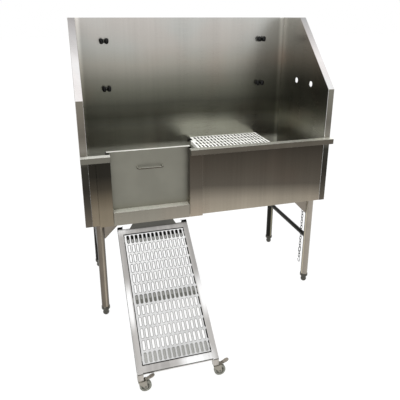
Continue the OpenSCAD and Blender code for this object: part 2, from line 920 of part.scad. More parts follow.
// A side tube, cut plumb at its lower end, on a block for its caster
module side_tube() {
    long = ramp_len + 2 * tube_w;
    hollow_l = (ramp_run - tube_w) / cos(ramp_angle);
    inner = tube_w - 2 * tube_wall;
    difference() {
        translate([0, 0, ramp_top_z]) rotate([ramp_angle, 0, 0]) difference() {
            translate([-tube_w / 2, -long, -tube_w]) cube([tube_w, long, tube_w]);
            translate([-inner / 2, -hollow_l, tube_wall - tube_w]) cube([inner, hollow_l + 1, inner]);
        }
        translate([-tube_w, -2 * ramp_run, -ramp_top_z])
            cube([2 * tube_w, ramp_run, 2 * ramp_top_z]);
        translate([-tube_w, -2 * ramp_run, -ramp_top_z])
            cube([2 * tube_w, 2 * ramp_run, caster_top_z + ramp_top_z]);
    }
    translate([-tube_w / 2, -ramp_run, caster_top_z])
        cube([tube_w, tube_w, socket_h - tube_wall]);
}

// The frame of the ramp: two side tubes with holes for the caster stems, and two cross bars
module ramp_frame() {
    color(steel) place() {
        for (s = [-1, 1]) translate([door_x + s * side_x, 0, 0]) difference() {
            side_tube();
            translate([0, -stem_y, caster_top_z - 1]) cylinder(d = stem_d, h = stem_l + 2);
        }
        on_ramp() for (far = [bar_w, low_bar_end]) difference() {
            translate([-clear_w / 2, -far, -tube_w]) cube([clear_w, bar_w, tube_w]);
            translate([tube_wall - clear_w / 2, tube_wall - far, tube_wall - tube_w])
                cube([clear_w - 2 * tube_wall, bar_w - 2 * tube_wall, tube_w - 2 * tube_wall]);
        }
    }
}

// The tread: a drop-in plate with rows of round-ended slots
module ramp_panel() {
    color("gainsboro") place() on_ramp()
        translate([0, -panel_near - panel_l / 2, -panel_drop - panel_t])
            linear_extrude(panel_t)
                difference() {
                    square([panel_w, panel_l], center = true);
                    for (i = [0 : panel_cols - 1], j = [0 : panel_rows - 1])
                        translate([
                            (i - (panel_cols - 1) / 2) * panel_pitch_x,
                            (j - (panel_rows - 1) / 2) * panel_pitch_y
                        ])
                            slot_2d(panel_slot_w, panel_slot_l);
                }
}

// Channels across the frame, under the first, middle and last rows of slots
module ramp_supports() {
    wall = 2;
    color(dark_steel) place() on_ramp()
        for (j = support_rows)
            translate([
                -clear_w / 2,
                -panel_near - (j + 0.5) * panel_pitch_y - support_w / 2,
                -panel_drop - panel_t - support_h
            ])
                difference() {
                    cube([clear_w, support_w, support_h]);
                    translate([-1, wall, -1])
                        cube([clear_w + 2, support_w - 2 * wall, support_h - wall + 1]);
                }
}

// A tapered plate on the upper cross bar, bent over the rod at its top
module ramp_hook_plate() {
    face_y = rod_y - hook_r - hook_t;
    foot_w = hook_w + 42;
    tail = 4;
    color(steel) place() difference() {
        union() {
            translate([door_x, 0, 0]) along_y(face_y, hook_t)
                polygon([
                    [-foot_w / 2, ramp_top_z - 20], [foot_w / 2, ramp_top_z - 20],
                    [foot_w / 2, ramp_top_z], [hook_w / 2, rod_z],
                    [-hook_w / 2, rod_z], [-foot_w / 2, ramp_top_z]
                ]);
            along_x(door_x - hook_w / 2, hook_w) translate([rod_y, rod_z]) {
                difference() {
                    circle(r = hook_r + hook_t);
                    circle(r = hook_r);
                    translate([-20, -20]) square([40, 20]);
                }
                translate([hook_r, -tail]) square([hook_t, tail]);
            }
        }
        on_ramp() translate([-ramp_w, -100, -100]) cube([2 * ramp_w, 200, 100]);
    }
}

// Rubber caps on the upper ends of the side tubes, each with a plug that sits in its tube
module ramp_caps() {
    plug_w = tube_w - 2 * tube_wall - 2 * running;
    plug_l = 12;
    color(black) place() on_ramp()
        for (s = [-1, 1]) translate([s * side_x, 0, -tube_w / 2]) {
            translate([-tube_w / 2, 0, -tube_w / 2]) cube([tube_w, cap_l, tube_w]);
            translate([-plug_w / 2, -plug_l, -plug_w / 2]) cube([plug_w, plug_l + 1, plug_w]);
        }
}

// Casters

module at_caster(s) {
    translate([door_x + s * side_x, -stem_y, 0]) children();
}

module caster_stems() {
    head_h = 1.5;
    head_z = bridge_z - gap - head_h;
    color(dark_steel) place() for (s = [-1, 1]) at_caster(s) {
        translate([0, 0, head_z]) cylinder(d = stem_d + 4, h = head_h);
        translate([0, 0, head_z]) cylinder(d = stem_d, h = caster_top_z + stem_l - head_z);
    }
}

// A pressed fork: a bridge on the stem and a cheek on each side of the wheel
module caster_fork(s) {
    bridge_in = -10;
    bridge_out = 14;
    ear_h = pedal_z + 2;
    toe = 7;
    color("lightgray") place() at_caster(s) difference() {
        union() {
            translate([bridge_in, -cheek_out, bridge_z])
                cube([bridge_out - bridge_in, 2 * cheek_out, bridge_t]);
            translate([0, 0, bridge_z]) cylinder(d = stem_d + 8, h = crown_top_z - bridge_z);
            for (y = [-cheek_out, cheek_in]) along_y(y, cheek_t) {
                polygon([
                    [bridge_in, bridge_z + bridge_t], [bridge_in, bridge_z - cheek_t],
                    [caster_trail - toe, wheel_z - cheek_t], [caster_trail + toe, wheel_z - cheek_t],
                    [pedal_x + 4, bridge_z], [pedal_x + 3.4, ear_h],
                    [pedal_x - 3, ear_h], [pedal_x - 3.8, bridge_z + bridge_t]
                ]);
                translate([caster_trail, wheel_z]) circle(d = axle_d + 10);
            }
        }
        translate([0, 0, bridge_z - 1]) cylinder(d = stem_d + 2 * running, h = caster_rise + 2);
        translate([caster_trail, 0, wheel_z]) rod_y_axis(axle_d, 4 * cheek_out);
        translate([pedal_x, 0, pedal_z]) rod_y_axis(pedal_pin_d + 2 * running, 4 * cheek_out);
    }
}

module caster_axle(s) {
    color(dark_steel) place() at_caster(s) translate([caster_trail, 0, wheel_z]) {
        rod_y_axis(axle_d, 2 * cheek_out);
        for (t = [-1, 1])
            translate([0, t * (cheek_out + axle_head / 2), 0]) rod_y_axis(axle_d + 4, axle_head);
    }
}

// The wheel: a rounded tread on a dished hub
module caster_wheel(s) {
    r = wheel_d / 2;
    half = wheel_w / 2;
    edge = 4;
    groove_r = r - 10;
    bore_r = axle_d / 2 + running;
    color("gainsboro") place() at_caster(s) translate([caster_trail, 0, wheel_z])
        rotate([90, 0, 0]) rotate_extrude() difference() {
            union() {
                translate([bore_r, -half + edge]) square([r - bore_r, wheel_w - 2 * edge]);
                translate([bore_r, -half]) square([r - bore_r - edge, wheel_w]);
                for (t = [-1, 1]) translate([r - edge, t * (half - edge)]) circle(r = edge);
            }
            for (t = [-1, 1]) translate([groove_r, t * half]) circle(r = edge, $fn = 4);
        }
}

// A pedal on a pin through the cheeks, standing up while the wheel is free
module brake_pedal(s) {
    w = 2 * cheek_in - 2;
    boss_d = 4;
    color("lightgray") place() at_caster(s) translate([pedal_x, 0, pedal_z]) {
        rod_y_axis(boss_d, 2 * cheek_in - 2 * gap);
        rod_y_axis(pedal_pin_d, 2 * cheek_out);
        rotate([0, -pedal_rest, 0]) translate([0, 0, -pedal_t / 2]) linear_extrude(pedal_t) {
            translate([0, -w / 2]) square([pedal_l - w / 2, w]);
            translate([pedal_l - w / 2, 0]) circle(d = w);
        }
    }
}

// Chain

// An oval link in the X and Z plane, its top at the middle of its upper wire
module link(l, w, d) {
    r = (w - d) / 2;
    straight = l - w;
    translate([0, 0, -(l - d) / 2]) {
        for (s = [-1, 1]) {
            translate([s * r, 0, 0]) cylinder(d = d, h = straight, center = true, $fn = 16);
            translate([0, 0, s * straight / 2]) rotate([s * 90, 0, 0])
                rotate_extrude(angle = 180, $fn = 24) translate([r, 0]) circle(d = d, $fn = 16);
        }
    }
}

// A ring in the Y and Z plane
module ring(d) {
    rotate([0, 90, 0]) rotate_extrude($fn = 32) translate([d / 2, 0]) circle(d = wire_d, $fn = 16);
}

module at_chain(z) {
    translate([chain_x, chain_y, z]) children();
}

module chain_eye() {
    color(steel) place() {
        at_chain(base_z - eye_plate_h) cylinder(d = 7.5, h = eye_plate_h);
        at_chain(eye_z) ring(eye_d);
    }
}

module chain_upper() {
    color(steel) place() for (i = [0 : upper_links - 1])
        at_chain(upper_top_z - i * link_step) rotate([0, 0, 90 * (i % 2)]) link(link_l, link_w, wire_d);
}

module chain_lower() {
    color(steel) place() {
        at_chain(long_top_z) link(long_link_l, long_link_w, long_wire_d);
        at_chain(lower_top_z) rotate([0, 0, 90]) link(link_l, link_w, wire_d);
        at_chain(lower_top_z - link_step) link(link_l, link_w, wire_d);
    }
}

// An open hook with a closed eye, turned to the rear
module chain_hook() {
    color(steel) place() at_chain(lower_low_z) rotate([-hook_lean, 0, 0]) {
        translate([0, 0, hook_eye_d / 2 - hook_eye_low]) ring(hook_eye_d);
        translate([0, 0, -hook_bend_low]) {
            cylinder(d = wire_d, h = hook_stem_l, $fn = 16);
            translate([0, hook_bend_r, 0]) rotate([0, 90, 0])
                rotate([0, 0, -90]) rotate_extrude(angle = 180, $fn = 32)
                    translate([hook_bend_r, 0]) circle(d = wire_d, $fn = 16);
            translate([0, hook_bend_d, 0]) cylinder(d = wire_d, h = hook_tip_l, $fn = 16);
            translate([0, hook_bend_d, hook_tip_l]) sphere(d = hook_ball_d, $fn = 16);
        }
    }
}

back_wall();
side_wall_left();
side_wall_right();
basin_floor();
apron_left();
apron_right();
rail_left();
rail_right();
door_post_left();
door_post_right();
door_sill();
base_channel(leg_front_y);  // base_channel_front
base_channel(leg_rear_y);  // base_channel_rear
grate_ledge_front();
grate_ledge_rear();
leg(-1, leg_front_y);  // leg_front_left
leg(1, leg_front_y);  // leg_front_right
leg(-1, leg_rear_y);  // leg_rear_left
leg(1, leg_rear_y);  // leg_rear_right
leg_gussets();
side_stretcher(-1);  // side_stretcher_left
side_stretcher(1);  // side_stretcher_right
leg_inserts();
foot(-1, leg_front_y);  // foot_front_left
foot(1, leg_front_y);  // foot_front_right
foot(-1, leg_rear_y);  // foot_rear_left
foot(1, leg_rear_y);  // foot_rear_right
peg_plates();
peg_pads();
peg_screws();
drain_flange();
drain_gasket();
drain_nut();
drain_tailpiece();
drain_basket();
door_panel();
door_handle();
grate();
ramp_hanger();
ramp_frame();
ramp_panel();
ramp_supports();
ramp_hook_plate();
ramp_caps();
caster_stems();
caster_fork(-1);  // caster_fork_left
caster_fork(1);  // caster_fork_right
caster_axle(-1);  // caster_axle_left
caster_axle(1);  // caster_axle_right
caster_wheel(-1);  // caster_wheel_left
caster_wheel(1);  // caster_wheel_right
brake_pedal(-1);  // brake_pedal_left
brake_pedal(1);  // brake_pedal_right
chain_eye();
chain_upper();
chain_lower();
chain_hook();
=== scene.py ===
"""Finishes, pressed, welded and moulded details, and a studio stage for a dog grooming tub."""

import json
import math

import bmesh
import bpy
from bpy.props import FloatProperty, FloatVectorProperty, IntProperty, PointerProperty
from mathutils import Matrix, Vector

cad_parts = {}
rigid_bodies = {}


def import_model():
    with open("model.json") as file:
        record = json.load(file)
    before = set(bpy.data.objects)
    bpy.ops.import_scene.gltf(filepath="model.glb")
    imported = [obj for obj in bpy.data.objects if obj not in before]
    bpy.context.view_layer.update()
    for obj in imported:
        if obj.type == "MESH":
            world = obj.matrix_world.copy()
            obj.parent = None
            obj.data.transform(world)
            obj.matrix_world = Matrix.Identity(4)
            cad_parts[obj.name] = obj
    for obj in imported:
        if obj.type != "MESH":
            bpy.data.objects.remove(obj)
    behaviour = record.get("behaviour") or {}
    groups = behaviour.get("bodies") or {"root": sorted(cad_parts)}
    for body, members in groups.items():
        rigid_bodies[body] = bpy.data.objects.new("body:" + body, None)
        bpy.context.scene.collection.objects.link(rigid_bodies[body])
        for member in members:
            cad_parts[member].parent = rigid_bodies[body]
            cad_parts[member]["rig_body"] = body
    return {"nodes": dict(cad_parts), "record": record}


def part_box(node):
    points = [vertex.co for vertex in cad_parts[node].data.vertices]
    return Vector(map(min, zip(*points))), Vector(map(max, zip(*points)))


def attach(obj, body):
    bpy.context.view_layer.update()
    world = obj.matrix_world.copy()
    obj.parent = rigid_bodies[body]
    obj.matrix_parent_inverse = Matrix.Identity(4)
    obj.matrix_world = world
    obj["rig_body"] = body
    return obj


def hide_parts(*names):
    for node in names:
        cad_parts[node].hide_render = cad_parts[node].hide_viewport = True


bl_info = {
    "name": "Dog Grooming Tub",
    "version": (1, 0, 0),
    "blender": (4, 5, 0),
    "location": "3D View > Sidebar > Tub",
    "description": "Finishes and small details for a dog grooming tub with a ramp",
    "category": "Object",
}

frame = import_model()
NODES = frame["nodes"]
BODY_OF = {node: item["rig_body"] for node, item in NODES.items()}
SLOT_OF = {part["node"]: part["material_slot"] for part in frame["record"]["subparts"]}
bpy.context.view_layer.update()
MM = 0.001
GRAIN_DEPTH = 0.02 * MM
PORE_DEPTH = 0.05 * MM
LEGS = ("front_left", "front_right", "rear_left", "rear_right")
# Edges that turn further than this, in radians, are folds or corners
CORNER = 0.6


def new_object(name, data):
    """Adds an object to the scene."""
    item = bpy.data.objects.new(name, data)
    bpy.context.scene.collection.objects.link(item)
    return item


# Expressions on sockets

def maths(operation):
    """An operator and its reflected form, which add a Math node."""
    def straight(self, value):
        return self.math(operation, self, value)

    def reflected(self, value):
        return self.math(operation, value, self)
    return straight, reflected


class Sock:
    """An output of a node. Arithmetic on it adds the Math nodes that it needs."""

    __add__, __radd__ = maths("ADD")
    __sub__, __rsub__ = maths("SUBTRACT")
    __mul__, __rmul__ = maths("MULTIPLY")
    __truediv__, __rtruediv__ = maths("DIVIDE")
    __mod__, __rmod__ = maths("MODULO")
    __gt__, __lt__ = maths("GREATER_THAN")

    def __init__(self, tree, output):
        self.tree = tree
        self.output = output

    def other(self, label):
        """Another output of the same node."""
        return Sock(self.tree, self.output.node.outputs[label])

    def math(self, operation, *values):
        return self.tree.add("ShaderNodeMath", {"operation": operation}, values)

    def __abs__(self):
        return self.math("ABSOLUTE", self)

    def step(self, low, high):
        """Rises smoothly from 0 at low to 1 at high."""
        return self.tree.add(
            "ShaderNodeMapRange", {"interpolation_type": "SMOOTHSTEP"}, [self, low, high])


class Tree:
    """A node tree. One method adds a node with its settings and its sockets' values or links."""

    def __init__(self, tree):
        self.tree = tree

    def add(self, kind, settings=None, inputs=(), output=0):
        node = self.tree.nodes.new(kind)
        for name, value in (settings or {}).items():
            if name == "stops":
                self.set_stops(node.color_ramp.elements, value)
            else:
                setattr(node, name, value)
        named = inputs.items() if isinstance(inputs, dict) else enumerate(inputs)
        for key, value in named:
            if isinstance(value, Sock):
                self.tree.links.new(value.output, node.inputs[key])
            else:
                node.inputs[key].default_value = value
        return Sock(self, node.outputs[output]) if len(node.outputs) else node

    def set_stops(self, elements, stops):
        while len(elements) < len(stops):
            elements.new(1)
        for element, (position, colour) in zip(elements, stops):
            element.position = position
            element.color = (*colour, 1)

    def vector(self, x, y, z):
        return self.add("ShaderNodeCombineXYZ", {}, [x, y, z])

    def split(self, at):
        parts = self.add("ShaderNodeSeparateXYZ", {}, [at])
        return parts, parts.other("Y"), parts.other("Z")


class Rule(Tree):
    """A Geometry Nodes tree with named sizes that ends in real faces of one material."""

    def __init__(self, name, sizes):
        super().__init__(bpy.data.node_groups.new(name, "GeometryNodeTree"))
        self.name = name
        self.sizes = sizes
        face = self.tree.interface
        face.new_socket("Geometry", in_out="INPUT", socket_type="NodeSocketGeometry")
        face.new_socket("Geometry", in_out="OUTPUT", socket_type="NodeSocketGeometry")
        for label, value in sizes.items():
            kind = "NodeSocketInt" if isinstance(value, int) else "NodeSocketFloat"
            face.new_socket(label, in_out="INPUT", socket_type=kind)
        self.entry = self.tree.nodes.new("NodeGroupInput")

    def size(self, label):
        """One of the tree's inputs: a named size, or the carrier's geometry."""
        return Sock(self, self.entry.outputs[label])

    def ring(self, width, length, corner, thickness, sides, steps):
        """A rounded rectangle in the X and Y plane, swept with a round section.

        Its corner is given a little under half the width, so that no side vanishes.
        """
        path = self.add(
            "GeometryNodeCurvePrimitiveQuadrilateral", {}, {"Width": width, "Height": length})
        path = self.add("GeometryNodeFilletCurve", {"mode": "POLY"}, {
            "Curve": path, "Count": steps, "Radius": corner})
        section = self.add("GeometryNodeCurvePrimitiveCircle", {}, {
            "Resolution": sides, "Radius": thickness / 2})
        return self.add("GeometryNodeCurveToMesh", {}, {"Curve": path, "Profile Curve": section})

    def repeat(self, points, shape, **inputs):
        return self.add("GeometryNodeInstanceOnPoints", {}, {
            "Points": points, "Instance": shape, **inputs})

    def run(self, made, finish, carrier=None):
        """Ends the tree, sets its sizes on a carrier object and returns the plain mesh."""
        real = self.add("GeometryNodeRealizeInstances", {}, [made])
        real = self.add("GeometryNodeSetMaterial", {}, {"Geometry": real, "Material": finish})
        self.add("NodeGroupOutput", {}, [real])
        item = new_object(self.name, carrier or bpy.data.meshes.new(self.name))
        rule = item.modifiers.new(self.name, "NODES")
        rule.node_group = self.tree
        for socket in self.tree.interface.items_tree:
            if socket.in_out == "INPUT" and socket.name in self.sizes:
                rule[socket.identifier] = self.sizes[socket.name]
        return plain_mesh(item)


def plain_mesh(item):
    """The mesh that an object's modifiers make. The object itself is removed."""
    graph = bpy.context.evaluated_depsgraph_get()
    mesh = bpy.data.meshes.new_from_object(item.evaluated_get(graph))
    bpy.data.objects.remove(item)
    return mesh


class Finish(Tree):
    """A material under construction. Its constants are set on the shader's own sockets."""

    def __init__(self, name, constants):
        self.material = bpy.data.materials.new(name)
        self.material.use_nodes = True
        super().__init__(self.material.node_tree)
        self.surface = self.tree.nodes["Principled BSDF"]
        for label, value in constants.items():
            self.surface.inputs[label].default_value = value

    def place(self):
        """The object's coordinates in metres, as three values."""
        return self.split(self.add("ShaderNodeTexCoord", {}, (), "Object"))

    def normal(self):
        """The direction that a face is turned to, as three values."""
        return self.split(self.add("ShaderNodeNewGeometry", {}, (), "Normal"))

    def facing(self, axis, low=0.8, high=0.95):
        """1 on faces square to an axis and 0 on faces along it."""
        return abs(self.normal()["XYZ".index(axis)]).step(low, high)

    def noise(self, at, scale=1.0, detail=2.0):
        return self.add(
            "ShaderNodeTexNoise", {}, {"Vector": at, "Scale": scale, "Detail": detail})

    def ramp(self, value, stops):
        return self.add("ShaderNodeValToRGB", {"stops": stops}, [value])

    def scaled(self, colour, value):
        """A colour times a value."""
        return self.add(
            "ShaderNodeVectorMath", {"operation": "SCALE"}, {"Vector": colour, "Scale": value})

    def mix(self, amount, low, high):
        """From one colour to another."""
        low, high = (c if isinstance(c, Sock) else (*c, 1) for c in (low, high))
        return self.add("ShaderNodeMix", {"data_type": "RGBA"}, {0: amount, 6: low, 7: high}, 2)

    def set(self, label, value):
        self.tree.links.new(value.output, self.surface.inputs[label])

    def bump(self, height, distance, strength=1.0):
        self.set("Normal", self.add("ShaderNodeBump", {}, {
            "Strength": strength, "Distance": distance, "Height": height}))


# Finishes

def grey(value, red=0.0, yellow=0.0):
    """A steel tone as it shows on a screen, from 0 to 255, as a linear colour."""
    def linear(channel):
        share = channel / 255
        return share / 12.92 if share <= 0.04045 else ((share + 0.055) / 1.055) ** 2.4
    return tuple(linear(value * factor) for factor in (1 + red, 1, 1 - yellow))


def tones(*stops):
    """The stops of a ramp. Each is given as a position and the tone there."""
    return [(position, grey(*tone)) for position, *tone in stops]


def brushed_sheet(
        name, heights, rise, front_shading_rise=None, slant_shading_rise=None, tilt=0.0, reflection_streak=0.10,
        level_shading_tone=None, level_metallic=1.0, right_highlight_tone=None, matt_below=None, corner_highlight_x=None):
    """Brushed sheet: fine level grain, with painted reflections drawn out up and down the sheet.

    Its tones are stops over a range of heights, which paint reflections and shade on it. Faces
    turned to the front, slanted and level ones, and those turned to the right can have tones of
    their own, painted light and shade for the way each faces. With a tilt the painted reflections
    sink to the right. Below a height the sheet can be more matt. Near its corners, this far from
    the middle, it has a painted highlight.
    """
    metal = Finish(name, {"Metallic": 1.0})
    low, high = heights
    x, y, z = metal.place()
    along = x + y
    flat = metal.facing("Z")
    across = z * (1 - flat) + y * flat
    # The height ramp paints blurred reflections; sway wobbles their edges
    sway = metal.noise(metal.vector(along * 1.3, 0.0, z * 0.5), detail=1.0)
    height = (z - low) * (1 / (high - low)) + (sway - 0.5) * 0.12 + x * tilt
    tone = metal.ramp(height, rise)
    # Front-facing and slanted faces get painted light and shade of their own
    if front_shading_rise:
        slant = metal.mix(metal.facing("Y", 0.5, 0.6), tone, metal.ramp(height, slant_shading_rise))
        tone = metal.mix(metal.facing("Y"), slant, metal.ramp(height, front_shading_rise))
    # Level faces get a painted highlight
    if level_shading_tone:
        tone = metal.mix(flat, tone, level_shading_tone)
        metal.set("Metallic", 1 - flat * (1 - level_metallic))
    # Faces turned to the right get a painted highlight
    if right_highlight_tone:
        tone = metal.mix(metal.normal()[0].step(0.15, 0.5), tone, right_highlight_tone)
    if matt_below:
        metal.set("Metallic", 0.25 + z.step(matt_below - 40 * MM, matt_below) * 0.75)
    patch = metal.noise(metal.vector(along * 2.3 + 5, 0.0, z * 2.6), detail=2.0)
    blushed = metal.add(
        "ShaderNodeVectorMath", {"operation": "MULTIPLY"}, [tone, (1.04, 0.985, 0.97)])
    tone = metal.mix(patch.step(0.48, 0.68), tone, blushed)
    # Bands and fine streaks paint blurred reflections drawn out up and down, and also vary the
    # roughness; grain is the real brushing
    bands = metal.noise(metal.vector(along * 11, 0.0, z * 0.7), detail=3.0)
    fine = metal.noise(metal.vector(along * 75, 0.0, z * 1.5), detail=2.0)
    grain = metal.noise(metal.vector(along * 9, 0.0, across * 1400), detail=3.0)
    level = 1 + (bands - 0.5) * (2 * reflection_streak) + (fine - 0.5) * reflection_streak + (grain - 0.5) * 0.10
    # A painted highlight along the corners
    if corner_highlight_x:
        level = level * (1.6 - abs(abs(x) - corner_highlight_x).step(0.0, 22 * MM) * 0.6)
    metal.set("Base Color", metal.scaled(tone, level))
    metal.set("Roughness", 0.30 + (grain - 0.5) * 0.16 + (bands - 0.5) * 0.08)
    metal.bump(grain, GRAIN_DEPTH, 0.5)
    return metal.material


def plain_steel(
        name, tone, roughness=0.3, level_shading_tone=None, metallic=1.0, level_metallic=None,
        sweep=0.06, heights=None):
    """Satin steel with a fine speckled grain and slow changes of tone.

    Its tone is a colour, stops over a range of heights or, without that range, stops round an
    upright tube, from the rear past its left side, which paint reflections round it. Level faces
    can have a tone of their own, as painted light and shade.
    """
    metal = Finish(name, {"Metallic": metallic})
    x, y, z = metal.place()
    at = metal.vector(x, y, z)
    cloud = metal.noise(at, 9.0, 2.0)
    grain = metal.noise(at, 700.0, 3.0)
    level = 1 + (cloud.step(0.35, 0.65) - 0.5) * (2 * sweep) + (grain - 0.5) * 0.08
    if heights:
        low, high = heights
        tone = metal.ramp((z - low) * (1 / (high - low)), tone)
    elif isinstance(tone, list):
        right, rear, _ = metal.normal()
        angle = right.math("ARCTAN2", right, 0 - rear)
        tone = metal.ramp(angle / (2 * math.pi) + 0.5, tone)
    # Level faces get a painted tone: a painted highlight on the tops of the rails and the door,
    # painted shade on the tops of the parts under the tub
    if level_shading_tone:
        flat = metal.facing("Z")
        tone = metal.mix(flat, tone, level_shading_tone)
        if level_metallic is not None:
            metal.set("Metallic", metallic + flat * (level_metallic - metallic))
    metal.set("Base Color", metal.scaled(tone, level))
    metal.set("Roughness", roughness + (grain - 0.5) * 0.15)
    metal.bump(grain, GRAIN_DEPTH, 0.4)
    return metal.material


def ramp_steel():
    """The ramp's square tube: drawn lengthwise, with painted highlights for its gleams and painted
    shade on its side faces.
    """
    metal = Finish("ramp_steel", {"Metallic": 1.0})
    low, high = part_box("ramp_frame")
    x, y, z = metal.place()
    along = (y - low.y) * (1 / (high.y - low.y))
    across = (x - low.x) * (1 / (high.x - low.x))
    on_side = abs(across - 0.5).step(0.42, 0.46)
    # Painted highlights: a glint halfway along both side tubes, one at the top left corner and one
    # on the right of the lower bar
    painted_glint = (1 - abs(along - 0.42).step(0.04, 0.20)) * on_side
    corner = (1 - abs(along - 1.0).step(0.0, 0.10)) * (1 - across.step(0.02, 0.30))
    end = (1 - along.step(0.02, 0.10)) * (1 - abs(across - 0.74).step(0.08, 0.28))
    wide = metal.noise(metal.vector(x * 30, y * 3, z * 3), detail=2.0)
    lengthwise = metal.noise(metal.vector(x * 900, y * 9, z * 9), detail=2.0)
    crosswise = metal.noise(metal.vector(x * 9, y * 700, z * 700), detail=2.0)
    grain = lengthwise * on_side + crosswise * (1 - on_side)
    tone = metal.mix(painted_glint * 0.85 + corner + end, grey(176, 0.015, 0.015), grey(255))
    # Painted shade on the side faces, lighter on the blocks at the frame's foot
    side = metal.facing("X") + metal.facing("Y", 0.70, 0.78)
    on_post = 1 - z.step(low.z + 26 * MM, low.z + 34 * MM)
    side_shade_tone = metal.mix(on_post, grey(62, 0.01, 0.05), grey(170, 0.03, 0.04))
    tone = metal.mix(side, tone, side_shade_tone)
    level = 1 + (wide.step(0.35, 0.65) - 0.5) * 0.22 + (grain - 0.5) * 0.22
    metal.set("Base Color", metal.scaled(tone, level))
    metal.set("Roughness", 0.33 + (grain - 0.5) * 0.2)
    metal.bump(grain, GRAIN_DEPTH, 0.4)
    return metal.material


def rubber(name, tone, roughness=0.55):
    """Moulded rubber: fine pores and a faint bloom."""
    skin = Finish(name, {"Metallic": 0.0, "Specular IOR Level": 0.25})
    x, y, z = skin.place()
    at = skin.vector(x, y, z)
    bloom = skin.noise(at, 90.0, 4.0)
    pores = skin.noise(at, 1800.0, 2.0)
    dusty = tuple(c * 1.6 + 0.002 for c in tone)
    skin.set("Base Color", skin.mix(bloom.step(0.5, 0.8), tone, dusty))
    skin.set("Roughness", roughness + (bloom - 0.5) * 0.25)
    skin.bump(pores, PORE_DEPTH, 0.5)
    return skin.material


def sheet_finishes():
    """The brushed sheets of the tub. Their tones over height are painted reflections and painted
    shade.
    """
    wall = [corner.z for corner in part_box("back_wall")]
    apron = [corner.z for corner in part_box("apron_right")]
    return {
        # The back wall: a dark band of painted reflection at mid height, and a painted highlight
        # at the corners
        "back": brushed_sheet(
            "back_sheet", wall, tones(
                (0.25, 165, 0, 0.07), (0.36, 168, 0, 0.08), (0.43, 104, 0, 0.12),
                (0.50, 84, 0, 0.11), (0.58, 100, 0, 0.10), (0.65, 118, 0.01, 0.08),
                (0.74, 149, 0.02, 0.06), (0.85, 172, 0, 0.03), (1.0, 186, 0, 0.02)),
            matt_below=765 * MM, corner_highlight_x=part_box("basin_floor")[1].x - 12 * MM),
        # The side walls: painted reflections over height, with painted light and shade of their
        # own on their front and slanted flanges
        "side": brushed_sheet(
            "side_sheet", wall, tones(
                (0.28, 120, 0.01, 0.07), (0.40, 165, 0.01, 0.06), (0.50, 116, 0.01, 0.06),
                (0.60, 98, 0.02, 0.06), (0.68, 108, 0.03, 0.06), (0.76, 126, 0.04, 0.06),
                (0.86, 144, 0.03, 0.05), (1.0, 166, 0.02, 0.04)),
            front_shading_rise=tones(
                (0.0, 88, 0.06, 0.10), (0.1, 62, 0.06, 0.10), (0.18, 46, 0.04, 0.10),
                (0.30, 50, 0.02, 0.10), (0.385, 122, 0.03, 0.07), (0.45, 98, 0.03, 0.08),
                (0.62, 118, 0.02, 0.08)),
            slant_shading_rise=tones((0.60, 235), (0.78, 238), (0.88, 205), (1.0, 172))),
        # The aprons and posts: painted reflections, darker towards the top; the left apron and the
        # posts have copies of their own, the right post with a painted highlight on its
        # right-facing bend
        "apron": brushed_sheet(
            "apron_sheet", apron, tones(
                (0.0, 148, 0.06, 0.10), (0.2, 132, 0.06, 0.10), (0.42, 80, 0.07, 0.10),
                (0.65, 70, 0.08, 0.11), (1.0, 52, 0.09, 0.12)),
            tilt=0.24, reflection_streak=0.2),
        "post": brushed_sheet(
            "post_sheet", apron, tones(
                (0.0, 146, 0.06, 0.10), (0.2, 130, 0.06, 0.10), (0.42, 82, 0.07, 0.10),
                (1.0, 58, 0.09, 0.12)),
            reflection_streak=0.2, right_highlight_tone=grey(132, 0.04, 0.08)),
        "apron_left": brushed_sheet(
            "apron_left_sheet", apron, tones(
                (0.0, 120, 0.08, 0.14), (0.2, 112, 0.08, 0.14), (0.35, 92, 0.09, 0.15),
                (0.52, 60, 0.08, 0.14), (0.7, 40, 0.05, 0.12), (1.0, 38, 0.05, 0.12)),
            reflection_streak=0.2),
        # The sill: a painted highlight on its top
        "sill": brushed_sheet(
            "sill_sheet", apron, tones(
                (0.0, 136, 0.03, 0.08), (0.2, 126, 0.03, 0.08), (1.0, 120, 0.03, 0.08)),
            level_shading_tone=grey(250, 0, 0.04), level_metallic=0.6),
    }


def tube_finishes():
    """The legs and stretchers, with the room's reflections painted round them in upright stripes.
    """
    return {
        "tube": plain_steel("leg_steel", tones(
            (0.0, 110, 0.04, 0.08), (0.15, 34, 0.04, 0.08), (0.24, 44, 0.04, 0.08),
            (0.29, 186, 0.05, 0.12), (0.34, 140, 0.05, 0.07), (0.60, 148, 0.05, 0.07),
            (0.67, 92, 0.04, 0.08), (1.0, 110, 0.04, 0.08))),
        # The front left leg and the rear legs and stretchers get darker, shaded copies of the
        # painted reflections
        "shaded_tube": plain_steel("dark_leg_steel", tones(
            (0.0, 60, 0.06, 0.09), (0.25, 60, 0.07, 0.10), (0.38, 96, 0.08, 0.10),
            (0.50, 106, 0.08, 0.10), (0.54, 158, 0.06, 0.10), (0.59, 112, 0.08, 0.10),
            (0.68, 64, 0.07, 0.10), (0.75, 34, 0.06, 0.09))),
        "rear_tube": plain_steel("rear_leg_steel", tones(
            (0.0, 40, 0.03, 0.08), (0.46, 36, 0.03, 0.08), (0.51, 88, 0.03, 0.12),
            (0.54, 160, 0.03, 0.14), (0.58, 64, 0.03, 0.10), (0.63, 34, 0.03, 0.08))),
    }


